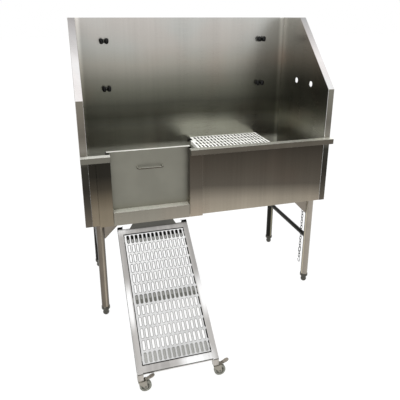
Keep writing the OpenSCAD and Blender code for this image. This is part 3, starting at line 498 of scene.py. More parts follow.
def fitting_finishes():
    """The tub's rails, door, grate and small metal parts."""
    return {
        # The basin is painted near white: painted light that lifts the grate's shadow on it
        "basin": plain_steel("basin_steel", grey(250, 0, 0.02), 0.25, metallic=0.7),
        # The rails' faces carry darker painted reflections and their tops a painted highlight; the
        # left rail has a lighter copy
        "rail": plain_steel(
            "rail_steel", grey(84, 0.06, 0.10), level_shading_tone=grey(250, 0, 0.04),
            level_metallic=0.85),
        "rail_left": plain_steel(
            "rail_left_steel", grey(104, 0.02, 0.08), level_shading_tone=grey(250, 0, 0.03),
            level_metallic=0.6),
        # The door's top lip carries a painted highlight
        "door": plain_steel(
            "door_steel", grey(124, 0.01, 0.08), 0.45, grey(240, 0, 0.03), level_metallic=0.5,
            sweep=0.04),
        # Parts under the tub and the grate are painted darker, a painted shade
        "dark": plain_steel("dark_steel", grey(92, 0.01, 0.05), 0.4, grey(80, 0.02, 0.08)),
        "gusset": plain_steel("gusset_steel", grey(128, 0.06, 0.08), 0.4),
        "grate": plain_steel("grate_steel", grey(250, 0, 0.02), 0.5, metallic=0.05),
        # The grate's slot edges are painted darker, a painted shade for the slots' inner walls
        "grate_lip_shade": plain_steel("grate_edge_steel", grey(205, 0, 0.02), 0.4, metallic=0.4),
        "weld": plain_steel("weld_steel", grey(150, 0.02, 0.05), 0.35),
        "rubber": rubber("black_rubber", grey(9)),
        "foot": plain_steel("foot_metal", grey(82, 0.02, 0.07), 0.3),
        "screw": plain_steel("screw_steel", grey(120, 0, 0.05), 0.35),
        "peg_plate": plain_steel("peg_plate_steel", grey(66, 0, 0.05), 0.35),
        "brass": plain_steel("drain_brass", (0.52, 0.36, 0.14), 0.35),
        "chain": plain_steel("chain_steel", grey(46, 0, 0.04), 0.3),
    }


def ramp_finishes():
    """The ramp, its tread and its casters."""
    ramp = [corner.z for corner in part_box("ramp_panel")]
    return {
        "frame": ramp_steel(),
        "panel": plain_steel(
            "panel_steel", tones((0.0, 196), (0.5, 204), (0.8, 222), (1.0, 232)), 0.5,
            metallic=0.15, heights=ramp),
        # The tread's slot edges carry painted shade, darkest towards the top of the ramp
        "lip": plain_steel(
            "slot_edge_steel", tones(
                (0.0, 165, 0, 0.02), (0.45, 130, 0, 0.02), (0.7, 44, 0, 0.02),
                (1.0, 36, 0, 0.02)),
            0.4, metallic=0.6, heights=ramp),
        "shade": plain_steel("ledge_steel", grey(34, 0.01, 0.05), 0.5),
        # The supports come in copies painted with light and shade
        "bar": plain_steel("support_steel", grey(150, 0, 0.03), 0.45),
        "shaded_bar": plain_steel("dark_support_steel", grey(112, 0, 0.05), 0.45),
        "lit_bar": plain_steel("light_support_steel", grey(162, 0, 0.02), 0.45),
        "caster": plain_steel("caster_steel", grey(150, 0.03, 0.07), 0.42),
        "pedal": rubber("pedal_shoe", grey(134, 0.05, 0.07), 0.5),
        "wheel": rubber("wheel_rubber", grey(140, 0, 0.07)),
        "hub": rubber("wheel_hub", grey(122, 0, 0.07), 0.4),
    }


FINISH_OF_SLOT = {
    "brushed_steel": "side", "bright_steel": "rail", "door_steel": "door", "tube_steel": "tube",
    "panel_steel": "panel", "black_rubber": "rubber", "foot_metal": "foot",
    "screw_steel": "screw", "drain_brass": "brass", "caster_steel": "caster",
    "wheel_rubber": "wheel", "chain_steel": "chain",
}
FINISH_OF_NODE = {
    "back_wall": "back", "apron_left": "apron_left", "apron_right": "apron",
    "door_post_left": "apron_left", "door_post_right": "post", "door_sill": "sill",
    "basin_floor": "basin", "rail_left": "rail_left", "grate": "grate",
    "leg_front_left": "shaded_tube",
    "leg_rear_left": "rear_tube", "leg_rear_right": "rear_tube",
    "side_stretcher_left": "rear_tube", "side_stretcher_right": "rear_tube",
    # The hook plate, hanger, base channels and grate ledges take the darker finish, painted shade
    "ramp_frame": "frame", "ramp_supports": "bar", "ramp_hook_plate": "dark",
    "ramp_hanger": "dark", "leg_gussets": "gusset", "base_channel_front": "dark",
    "base_channel_rear": "dark", "grate_ledge_front": "dark", "grate_ledge_rear": "dark",
}
FINISHES = {}


def finish_name(node):
    return FINISH_OF_NODE.get(node, FINISH_OF_SLOT[SLOT_OF[node]])


def dress(mesh, *finishes):
    """Sets a mesh's material slots. Clearing them would also reset the slots of its faces."""
    if mesh.materials:
        mesh.materials.clear()
    for finish in finishes:
        mesh.materials.append(finish)


# Forms

def form_of(mesh):
    """A form with a mesh's faces."""
    form = bmesh.new()
    form.from_mesh(mesh)
    return form


def clean_form(node):
    """A CAD node's faces with their corners merged and flat faces joined, all of them convex."""
    form = form_of(NODES[node].data)
    bmesh.ops.remove_doubles(form, verts=form.verts, dist=0.002 * MM)
    bmesh.ops.dissolve_limit(form, angle_limit=0.01, verts=form.verts, edges=form.edges)
    bmesh.ops.connect_verts_concave(form, faces=form.faces)
    return form


def to_mesh(name, form, corner=CORNER):
    """A mesh of a form, smooth but for its corners."""
    mesh = bpy.data.meshes.new(name)
    form.to_mesh(mesh)
    form.free()
    mesh.shade_smooth()
    mesh.set_sharp_from_angle(angle=corner)
    return mesh


def add_piece(name, mesh, like, finishes, replaced=()):
    """Adds a mesh that rides on a CAD node's body, in the place of the replaced nodes."""
    if finishes:
        dress(mesh, *[FINISHES[key] for key in finishes])
    piece = new_object(name, mesh)
    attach(piece, BODY_OF[like])
    if replaced:
        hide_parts(*replaced)
    return piece


def add_form(name, form, like, finishes, replaced=(), corner=CORNER):
    """Adds a form as a piece."""
    add_piece(name, to_mesh(name, form, corner), like, finishes, replaced)


def mirrored(profile):
    """A profile and its mirror image below it."""
    return profile + [(radius, -height) for radius, height in reversed(profile)]


def lathe(profile, steps=48):
    """Turns a closed profile of (radius, height) points round Z."""
    form = bmesh.new()
    corners = [form.verts.new((radius, 0, height)) for radius, height in profile]
    ring = [form.edges.new(pair) for pair in zip(corners, corners[1:] + corners[:1])]
    bmesh.ops.spin(
        form, geom=corners + ring, axis=(0, 0, 1), cent=(0, 0, 0), angle=2 * math.pi,
        steps=steps, use_merge=True)
    bmesh.ops.remove_doubles(form, verts=form.verts, dist=0.001 * MM)
    loose = [edge for edge in form.edges if not edge.link_faces]
    bmesh.ops.delete(form, geom=loose, context="EDGES")
    bmesh.ops.recalc_face_normals(form, faces=form.faces)
    return form


def joined(forms):
    """Several forms as one."""
    whole = bmesh.new()
    for form in forms:
        mesh = bpy.data.meshes.new("part")
        form.to_mesh(mesh)
        form.free()
        whole.from_mesh(mesh)
        bpy.data.meshes.remove(mesh)
    return whole


def placed(form, matrix):
    """Moves a form by a matrix."""
    form.transform(matrix)
    return form


def painted(form, slot):
    """Gives all of a form's faces one material slot."""
    for face in form.faces:
        face.material_index = slot
    return form


def loft(rings):
    """Joins rings of as many corners each, and closes both ends."""
    form = bmesh.new()
    loops = [[form.verts.new(corner) for corner in ring] for ring in rings]
    for low, high in zip(loops, loops[1:]):
        for k in range(len(low)):
            form.faces.new((low[k - 1], low[k], high[k], high[k - 1]))
    form.faces.new(loops[0][::-1])
    form.faces.new(loops[-1])
    bmesh.ops.recalc_face_normals(form, faces=form.faces)
    return form


def stadium(length, width, height, steps=12):
    """The outline of a slot along X, with as many corners as steps round each end."""
    radius = width / 2
    reach = length / 2 - radius
    corners = []
    for side in (1, -1):
        for k in range(steps):
            angle = math.pi * (k / (steps - 1) - side / 2)
            corners.append((
                side * reach + radius * math.cos(angle), radius * math.sin(angle), height))
    return corners


def block(low, high):
    """A box between two corners."""
    outline = [(low[0], low[1]), (high[0], low[1]), (high[0], high[1]), (low[0], high[1])]
    return loft([[(x, y, z) for x, y in outline] for z in (low[2], high[2])])


move = Matrix.Translation


def turn(angle, axis):
    return Matrix.Rotation(angle, 4, axis)


# Properties

def length_prop(name, description, default):
    return FloatProperty(name=name, description=description, default=default, unit="LENGTH")


def lengths_prop(name, description, *default):
    return FloatVectorProperty(
        name=name, description=description, size=len(default), default=default,
        subtype="XYZ_LENGTH")


def angle_prop(name, description, default):
    return FloatProperty(
        name=name, description=description, default=default, unit="ROTATION", subtype="ANGLE")


# Pieces, each group with its sizes

class TubSheets(bpy.types.PropertyGroup):
    """The edges of folded sheets and tubes."""

    bend: length_prop("Bend", "Outer radius of the folds", 2.2 * MM)
    inner: length_prop("Inner bend", "Inner radius of the folds", 0.7 * MM)
    edge: length_prop("Edge", "Radius of the cut edges", 0.35 * MM)
    wide: length_prop("Wide face", "Faces wider than this belong to a fold", 2.5 * MM)
    corner: angle_prop("Corner", "Edges sharper than this stay sharp", math.radians(37))


class TUB_OT_sheets(bpy.types.Operator):
    """Rounds the folds and the cut edges of the sheets and tubes"""

    bl_idname = "tub.sheets"
    bl_label = "Folded sheets and tubes"

    nodes = (
        "back_wall", "side_wall_left", "side_wall_right", "apron_left", "apron_right",
        "rail_left", "rail_right", "door_post_left", "door_post_right", "door_sill",
        "base_channel_front", "base_channel_rear", "grate_ledge_front", "grate_ledge_rear",
        "leg_gussets", "door_panel", "ramp_frame", "ramp_hook_plate", "ramp_hanger", "ramp_caps",
        "caster_fork_left", "caster_fork_right", "brake_pedal_left", "brake_pedal_right",
    )

    def execute(self, context):
        sizes = context.scene.tub_sheets
        for node in self.nodes:
            form = clean_form(node)
            self.weigh(form, sizes)
            mesh = bpy.data.meshes.new(node + "_rounded")
            form.to_mesh(mesh)
            form.free()
            mesh.shade_smooth()
            item = new_object(node, mesh)
            bevel = item.modifiers.new("folds", "BEVEL")
            bevel.limit_method = "WEIGHT"
            bevel.width = sizes.bend
            bevel.segments = 2
            bevel.use_clamp_overlap = False
            mesh = plain_mesh(item)
            mesh.set_sharp_from_angle(angle=sizes.corner)
            piece = add_piece(node + "_rounded", mesh, node, [finish_name(node)], [node])
            normals = piece.modifiers.new("normals", "WEIGHTED_NORMAL")
            normals.keep_sharp = True
        return {"FINISHED"}

    def weigh(self, form, sizes):
        """Folds get a wide round and cut edges a narrow one."""
        weight = form.edges.layers.float.new("bevel_weight_edge")
        for edge in form.edges:
            if len(edge.link_faces) != 2 or edge.calc_face_angle(0) < CORNER:
                continue
            width = min(face.calc_area() for face in edge.link_faces) / edge.calc_length()
            if width < sizes.wide:
                radius = sizes.edge
            else:
                radius = sizes.bend if edge.is_convex else sizes.inner
            edge[weight] = radius / sizes.bend


class TubPlates(bpy.types.PropertyGroup):
    """The slots of the grate and of the ramp's tread, and what holds the tread."""

    grate_columns: IntProperty(name="Grate columns", description="Slots across", default=20)
    grate_rows: IntProperty(name="Grate rows", description="Slots from front to back", default=9)
    grate_margin: lengths_prop(
        "Grate margins", "Sheet left over beside and before the slots", 12 * MM, 10 * MM)
    grate_slot: lengths_prop("Grate slot", "Width and length", 11 * MM, 50 * MM)
    notch: lengths_prop("Notch", "Size of the rear corner without slots", 18 * MM, 78 * MM)
    tread_columns: IntProperty(name="Tread columns", description="Slots across", default=14)
    tread_rows: IntProperty(name="Tread rows", description="Slots along the ramp", default=12)
    tread_margin: length_prop("Tread margin", "Sheet left over beside the slots", 10 * MM)
    tread_slot: lengths_prop("Tread slot", "Width and length", 11.4 * MM, 41 * MM)
    slope: angle_prop("Slope", "Slope of the ramp", math.radians(36.4))
    sheet: length_prop("Sheet", "Thickness of the tread", 2 * MM)
    play: length_prop("Play", "Gap between the tread and its frame", 3 * MM)
    flange: length_prop("Flange", "Width of the supports' flanges", 44 * MM)
    edge_cut: length_prop("Edge cut", "How deep the right edge cuts into its slots", 2.5 * MM)
    lip: length_prop("Lip", "Thickness of the pressed lip round each slot", 2.4 * MM)


class TUB_OT_plates(bpy.types.Operator):
    """Makes the slots' pressed lips, and the tread's cut edge, ledge and wide supports"""

    bl_idname = "tub.plates"
    bl_label = "Slotted plates"

    def execute(self, context):
        sizes = context.scene.tub_plates
        low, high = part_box("grate")
        room = (high.x - low.x - sizes.grate_margin[0], high.y - low.y - sizes.grate_margin[1])
        corner = (low.x - high.x) / 2 + sizes.notch[0], (high.y - low.y) / 2 - sizes.notch[1]
        mesh = self.lips(
            "grate_slot_lips", (sizes.grate_columns, sizes.grate_rows), room, sizes.grate_slot,
            sizes.lip, corner, "grate_lip_shade")
        middle = (low + high) / 2
        mesh.transform(move((middle.x, middle.y, high.z)))
        add_piece("grate_slot_lips", mesh, "grate", [])

        low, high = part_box("ramp_panel")
        cos, sin = math.cos(sizes.slope), math.sin(sizes.slope)
        length = (high.y - low.y - sizes.sheet * sin) / cos
        room = (high.x - low.x - sizes.tread_margin, length)
        mesh = self.lips(
            "tread_slot_lips", (sizes.tread_columns, sizes.tread_rows), room, sizes.tread_slot,
            sizes.lip, (-1.0, 1.0), "lip")
        middle = (low + high) / 2 + Vector((0, -sin, cos)) * sizes.sheet / 2
        place = move(middle) @ turn(sizes.slope, "X")
        mesh.transform(place)
        add_piece("tread_slot_lips", mesh, "ramp_panel", [])
        self.cut_edge(sizes, high.x - low.x, length, place)
        self.add_ledge(sizes, high.x - low.x, length, place)
        self.widen_supports(sizes, high.x - low.x, length, place)
        return {"FINISHED"}

    def cut_edge(self, sizes, width, length, place):
        """The tread's right edge, which runs through one more column of slots.

        Teeth of sheet between those slots fill most of the gap to the frame.
        """
        pitch = length / sizes.tread_rows
        edge = width / 2
        deep, root, tooth = 20 * MM, 1 * MM, sizes.play * 0.9
        cuts, teeth = [], []
        for row in range(sizes.tread_rows):
            middle = (row - (sizes.tread_rows - 1) / 2) * pitch
            outline = stadium(sizes.tread_slot[1], sizes.tread_slot[0], 0.0)
            reach = sizes.edge_cut - sizes.tread_slot[0] / 2
            ring = [(edge - reach - y, middle + x) for x, y, _ in outline]
            cuts.append(loft([[(x, y, z) for x, y in ring] for z in (-deep, deep)]))
            if row:
                side = middle - pitch / 2
                half = (pitch - sizes.tread_slot[1]) / 2
                teeth.append(block(
                    (edge - root, side - half, -sizes.sheet),
                    (edge + tooth, side + half, 0.0)))
        cutters = new_object("cutters", to_mesh("cutters", joined(cuts)))
        cutters.data.transform(place)
        item = new_object("tread", to_mesh("tread", clean_form("ramp_panel")))
        cut = item.modifiers.new("edge", "BOOLEAN")
        cut.operation = "DIFFERENCE"
        cut.object = cutters
        form = form_of(plain_mesh(item))
        bpy.data.objects.remove(cutters)
        whole = joined([form, placed(joined(teeth), place)])
        add_form("tread_sheet", whole, "ramp_panel", ["panel"], ["ramp_panel"])

    def add_ledge(self, sizes, width, length, place):
        """The strip inside the ramp's frame, painted near black as the shade in the gap round the
        tread.
        """
        across, along = width / 2 + sizes.play, length / 2 + sizes.play
        under, deep = -sizes.sheet - 0.1 * MM, -sizes.sheet - 2 * MM
        side, end = 11 * MM, 6 * MM
        strips = [
            block((s * across - side * (s > 0), -along, deep),
                  (s * across + side * (s < 0), along, under)) for s in (-1, 1)]
        strips += [
            block((side - across, s * along - end * (s > 0), deep),
                  (across - side, s * along + end * (s < 0), under)) for s in (-1, 1)]
        add_form("tread_ledge", placed(joined(strips), place), "ramp_supports", ["shade"])

    def widen_supports(self, sizes, width, length, place):
        """The supports' flanges under their rows, each with a finish for its two halves, painted
        with the light and shade that fall on them.
        """
        pitch = length / sizes.tread_rows
        inset, thick, overlap = 2 * MM, 1.5 * MM, 0.05 * MM
        half, top = sizes.flange / 2, overlap - sizes.sheet
        parts = [painted(clean_form("ramp_supports"), 0)]
        finishes = ["bar", "shade", "shaded_bar", "lit_bar"]
        last = sizes.tread_rows - 1
        # Each row's upper and lower halves, in painted shade and light; the top row's upper half
        # is in painted shadow
        rows = {
            last: ("shade", "lit_bar"), last // 2: ("bar", "shaded_bar"),
            0: ("lit_bar", "lit_bar"),
        }
        for row, (upper, lower) in rows.items():
            middle = (row - last / 2) * pitch
            for finish, start in ((lower, middle - half), (upper, middle)):
                plate = block(
                    (inset - width / 2, start, top - thick),
                    (width / 2 - inset, start + half, top))
                parts.append(painted(placed(plate, place), finishes.index(finish)))
        add_form("tread_supports", joined(parts), "ramp_supports", finishes, ["ramp_supports"])

    def lips(self, name, counts, room, slot, lip, corner, finish):
        """Rounded rings on a grid, but none past the corner at the rear left."""
        columns, rows = counts
        rule = Rule(name, {
            "Columns": columns, "Rows": rows, "Pitch X": room[0] / columns,
            "Pitch Y": room[1] / rows, "Slot Width": slot[0], "Slot Length": slot[1],
            "Lip": lip, "Corner X": corner[0], "Corner Y": corner[1],
        })
        size = rule.size
        grid = rule.add("GeometryNodeMeshGrid", {}, {
            "Size X": size("Pitch X") * (size("Columns") - 1),
            "Size Y": size("Pitch Y") * (size("Rows") - 1),
            "Vertices X": size("Columns"), "Vertices Y": size("Rows"),
        })
        x, y, _ = rule.split(rule.add("GeometryNodeInputPosition"))
        past = (size("Corner X") - x + size("Slot Width") / 2 > 0) * (
            y + size("Slot Length") / 2 > size("Corner Y"))
        points = rule.add("GeometryNodeDeleteGeometry", {}, {"Geometry": grid, "Selection": past})
        ring = rule.ring(
            size("Slot Width"), size("Slot Length"), size("Slot Width") * 0.498, size("Lip"), 6, 3)
        return rule.run(rule.repeat(points, ring), FINISHES[finish])


class TubChain(bpy.types.PropertyGroup):
    """The chain's links."""

    wire: length_prop("Wire", "Thickness of the wire", 3 * MM)
    length: length_prop("Length", "Length of a link", 24 * MM)
    width: length_prop("Width", "Width of a link", 14 * MM)
    long_extra: lengths_prop(
        "Long link", "What the long link has more in length, width and wire",
        10 * MM, 2 * MM, 1 * MM)
    play: length_prop("Play", "Play between links", 0.2 * MM)
    upper_links: IntProperty(name="Upper links", description="Links over the long one", default=20)


class TUB_OT_chain(bpy.types.Operator):
    """Makes the links of the chain"""

    bl_idname = "tub.chain"
    bl_label = "Chain"

    def execute(self, context):
        sizes = context.scene.tub_chain
        low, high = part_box("chain_upper")
        top = Vector(((low.x + high.x) / 2, (low.y + high.y) / 2, high.z))
        upper = self.run_of_links("upper_links", sizes.upper_links, sizes, 0)
        upper.transform(move(top))
        add_piece("chain_upper_links", upper, "chain_upper", [], ["chain_upper"])

        low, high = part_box("chain_lower")
        top.z = high.z
        form = form_of(self.run_of_links("long_link", 1, sizes, 0, sizes.long_extra))
        length, _, wire = sizes.long_extra
        drop = sizes.length + length - 2 * sizes.wire - wire - sizes.play
        pair = self.run_of_links("lower_links", 2, sizes, 1)
        pair.transform(move((0, 0, -drop)))
        form.from_mesh(pair)
        all_smooth = 3.0
        mesh = to_mesh("chain_lower_links", form, all_smooth)
        mesh.transform(move(top))
        add_piece("chain_lower_links", mesh, "chain_lower", ["chain"], ["chain_lower"])
        return {"FINISHED"}

    def run_of_links(self, name, count, sizes, first, extra=(0, 0, 0)):
        """Links hanging down from height 0, each turned a quarter from the one above it."""
        rule = Rule(name, {
            "Links": count, "First": first, "Length": sizes.length + extra[0],
            "Width": sizes.width + extra[1], "Wire": sizes.wire + extra[2], "Play": sizes.play,
        })
        size = rule.size
        wire, length = size("Wire"), size("Length")
        step = length - wire * 2 - size("Play")
        line = rule.add("GeometryNodeMeshLine", {}, {
            "Count": size("Links"), "Offset": rule.vector(0.0, 0.0, 0.0 - step)})
        link = rule.ring(
            size("Width") - wire, length - wire, (size("Width") - wire) * 0.499, wire, 10, 5)
        link = rule.add("GeometryNodeTransform", {}, {
            "Geometry": link, "Translation": rule.vector(0.0, 0.0, 0.0 - length / 2),
            "Rotation": (math.pi / 2, 0, 0)})
        index = rule.add("GeometryNodeInputIndex") + size("First")
        quarter = rule.vector(0.0, 0.0, index % 2 * (math.pi / 2))
        made = rule.repeat(line, link, Rotation=quarter)
        made = rule.add("GeometryNodeSetShadeSmooth", {}, [made])
        return rule.run(made, FINISHES["chain"])


class TubPegs(bpy.types.PropertyGroup):
    """The tie-up pegs on the back wall."""

    spread: length_prop("Spread", "Distance of the pegs from the tub's middle", 456 * MM)
    heights: lengths_prop("Heights", "Heights of the lower and upper pegs", 1085 * MM, 1341 * MM)
    pitch: length_prop("Pitch", "Distance between the two pads of a peg", 28 * MM)
    pad: lengths_prop("Pad", "Width and height of a pad", 21.4 * MM, 30 * MM)
    reach: length_prop("Reach", "How far the pads stand out from the wall", 30 * MM)
    plate: lengths_prop("Plate", "Width and thickness of a plate", 20 * MM, 2.5 * MM)
    lean: angle_prop("Lean", "How far the pads lean apart", math.radians(8))
    screw: length_prop("Screw", "Width of a screw's head", 6 * MM)


class TUB_OT_pegs(bpy.types.Operator):
    """Makes the pegs: moulded pads on necks, their plates and screws"""

    bl_idname = "tub.pegs"
    bl_label = "Tie-up pegs"

    def execute(self, context):
        sizes = context.scene.tub_pegs
        wall_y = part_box("peg_plates")[1].y
        spots = [
            move((side * sizes.spread, wall_y, height))
            for side in (-1, 1) for height in sizes.heights]
        plate_t = sizes.plate[1]
        pads, plates = [], []
        for spot in spots:
            for side in (-1, 1):
                at = spot @ move((side * sizes.pitch / 2, 0, 0))
                out = move((0, sizes.pad[0] / 2 - sizes.reach, 0))
                pads.append(placed(self.pad(sizes), at @ out @ turn(side * sizes.lean, "Y")))
                neck = at @ move((0, -plate_t, 0)) @ turn(math.pi / 2, "X")
                pads.append(placed(self.neck(sizes), neck))
            plates.append(placed(self.plate(sizes), spot @ turn(math.pi / 2, "X")))
        add_form("moulded_pads", joined(pads), "peg_pads", ["rubber"], ["peg_pads"])
        add_form(
            "peg_wall_plates", joined(plates), "peg_plates", ["peg_plate"], ["peg_plates"])
        mesh = self.screw_heads(
            [spot @ Vector((0, -plate_t, 0)) for spot in spots], sizes.screw)
        add_piece("peg_screw_heads", mesh, "peg_screws", [], ["peg_screws"])
        return {"FINISHED"}

    def pad(self, sizes):
        """An upright capsule with full ends and a fine mould line round its middle."""
        width, height = sizes.pad
        steps, fullness, line = 32, 0.75, 0.25 * MM
        profile = []
        for k in range(steps + 1):
            angle = math.pi * (k / steps - 0.5)
            radius = width / 2 * abs(math.cos(angle)) ** fullness
            z = math.copysign(height / 2 * abs(math.sin(angle)) ** fullness, angle)
            profile.append((radius, z))
        middle = steps // 2
        profile[middle:middle + 1] = [
            (width / 2, -2 * line), (width / 2 + line, -line), (width / 2 + line, line),
            (width / 2, 2 * line)]
        return lathe(profile, steps)

    def neck(self, sizes):
        """The pad's neck, with a foot that spreads on the plate."""
        depth = sizes.reach - sizes.pad[0] / 2 - sizes.plate[1]
        return lathe([
            (0, 0), (8 * MM, 0), (8 * MM, 1.2 * MM), (6.4 * MM, 2.4 * MM), (5.2 * MM, 4.5 * MM),
            (5 * MM, 7 * MM), (5 * MM, depth), (0, depth)], 24)

    def plate(self, sizes):
        width, thick = sizes.plate
        length = sizes.pitch + width
        edge = 0.6 * MM
        return loft([
            stadium(length, width, 0.0), stadium(length, width, thick - edge),
            stadium(length - 0.6 * edge, width - 0.6 * edge, thick - 0.3 * edge),
            stadium(length - 2 * edge, width - 2 * edge, thick)])

    def screw_heads(self, spots, width):
        """Domed heads with a cross recess, facing the front."""
        rule = Rule("cross_screws", {"Width": width, "Rise": 0.5, "Recess": 0.22})
        size = rule.size
        dome = rule.add(
            "GeometryNodeMeshUVSphere", {},
            {"Segments": 20, "Rings": 10, "Radius": size("Width") / 2})
        dome = rule.add("GeometryNodeTransform", {}, {
            "Geometry": dome, "Scale": rule.vector(1.0, 1.0, size("Rise"))})
        narrow, long = size("Width") * size("Recess") * 0.6, size("Width") * 0.6
        bars = [
            rule.add("GeometryNodeMeshCube", {}, {
                "Size": rule.vector(w, h, size("Width") * size("Rise"))})
            for w, h in ((narrow, long), (long, narrow))]
        cross = rule.add("GeometryNodeJoinGeometry")
        for bar in bars:
            rule.tree.links.new(bar.output, cross.output.node.inputs[0])
        cross = rule.add("GeometryNodeTransform", {}, {
            "Geometry": cross,
            "Translation": rule.vector(0.0, 0.0, size("Width") * size("Rise") * 0.6)})
        head = rule.add("GeometryNodeMeshBoolean", {"operation": "DIFFERENCE"})
        rule.tree.links.new(dome.output, head.output.node.inputs["Mesh 1"])
        rule.tree.links.new(cross.output, head.output.node.inputs["Mesh 2"])
        head = rule.add("GeometryNodeTransform", {}, {
            "Geometry": head, "Rotation": (math.pi / 2, 0, 0)})
        carrier = bpy.data.meshes.new("screw_spots")
        carrier.from_pydata(spots, [], [])
        mesh = rule.run(rule.repeat(size("Geometry"), head), FINISHES["screw"], carrier)
        mesh.shade_smooth()
        mesh.set_sharp_from_angle(angle=CORNER)
        return mesh


class TubFeet(bpy.types.PropertyGroup):
    """The adjustable feet."""

    tip: length_prop("Tip", "Width of the round tip", 32 * MM)
    waist: length_prop("Waist", "Width of the waist", 29 * MM)
    collar: lengths_prop("Collar", "Width and height of the collar", 43 * MM, 15 * MM)
    collar_top: length_prop("Collar top", "Height of the collar's upper face", 49.7 * MM)
    stud: lengths_prop("Stud", "Width of the stud and pitch of its thread", 12 * MM, 1.75 * MM)


class TUB_OT_feet(bpy.types.Operator):
    """Turns the feet, with grooved collars and threaded studs"""

    bl_idname = "tub.feet"
    bl_label = "Feet"

    def execute(self, context):
        sizes = context.scene.tub_feet
        profile = self.profile(sizes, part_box("foot_front_left")[1].z)
        for place in LEGS:
            node = "foot_" + place
            low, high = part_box(node)
            middle = (low + high) / 2
            mesh = to_mesh("turned_" + node, lathe(profile, 56), 0.5)
            mesh.transform(move((middle.x, middle.y, 0)))
            add_piece("turned_" + node, mesh, node, ["foot"], [node])
        return {"FINISHED"}

    def profile(self, sizes, top):
        """From the round tip past the waist and the collar's grooves to the stud's thread."""
        radius, steps = sizes.tip / 2, 12
        centre = radius - 3 * MM
        points = [(0, 0)]
        for k in range(steps + 1):
            angle = -math.asin(centre / radius) * (1 - k / steps)
            points.append((radius * math.cos(angle), centre + radius * math.sin(angle)))
        waist, collar = sizes.waist / 2, sizes.collar[0] / 2
        low, high = sizes.collar_top - sizes.collar[1], sizes.collar_top
        points += [
            (waist + 0.5 * MM, centre + 4 * MM), (waist, centre + 7 * MM),
            (waist, low - 6 * MM), (waist + 1 * MM, low - 3.5 * MM),
            (collar - 3 * MM, low - 0.8 * MM), (collar - 0.8 * MM, low),
            (collar, low + 0.8 * MM)]
        depth = 0.5 * MM
        for k in range(3):
            groove = low + (4 + 2.6 * k) * MM
            points += [
                (collar, groove - depth), (collar - depth, groove), (collar, groove + depth)]
        points += [(collar, high - 2 * MM), (collar - 2 * MM, high), (sizes.stud[0] / 2, high)]
        width, pitch = sizes.stud
        z = high + pitch
        while z < top - pitch:
            points += [(width / 2 - 0.8 * MM, z - pitch / 2), (width / 2, z)]
            z += pitch
        return points + [(width / 2 - 1 * MM, top), (0, top)]


class TubCasters(bpy.types.PropertyGroup):
    """The casters of the ramp."""

    wheel: lengths_prop("Wheel", "Diameter and width of a wheel", 50 * MM, 18 * MM)
    hub: length_prop("Hub", "Diameter of the hub", 35 * MM)
    ribs: IntProperty(name="Ribs", description="Ribs of a hub", default=6)
    axle: length_prop("Axle", "Diameter of the axle", 6 * MM)
    nut: length_prop("Nut", "Width of a nut over its corners", 10 * MM)
    cup: length_prop("Cup", "Diameter of the swivel bearing's cup", 24 * MM)
    pedal: angle_prop("Pedal", "Angle at which a released pedal stands up", math.radians(25))


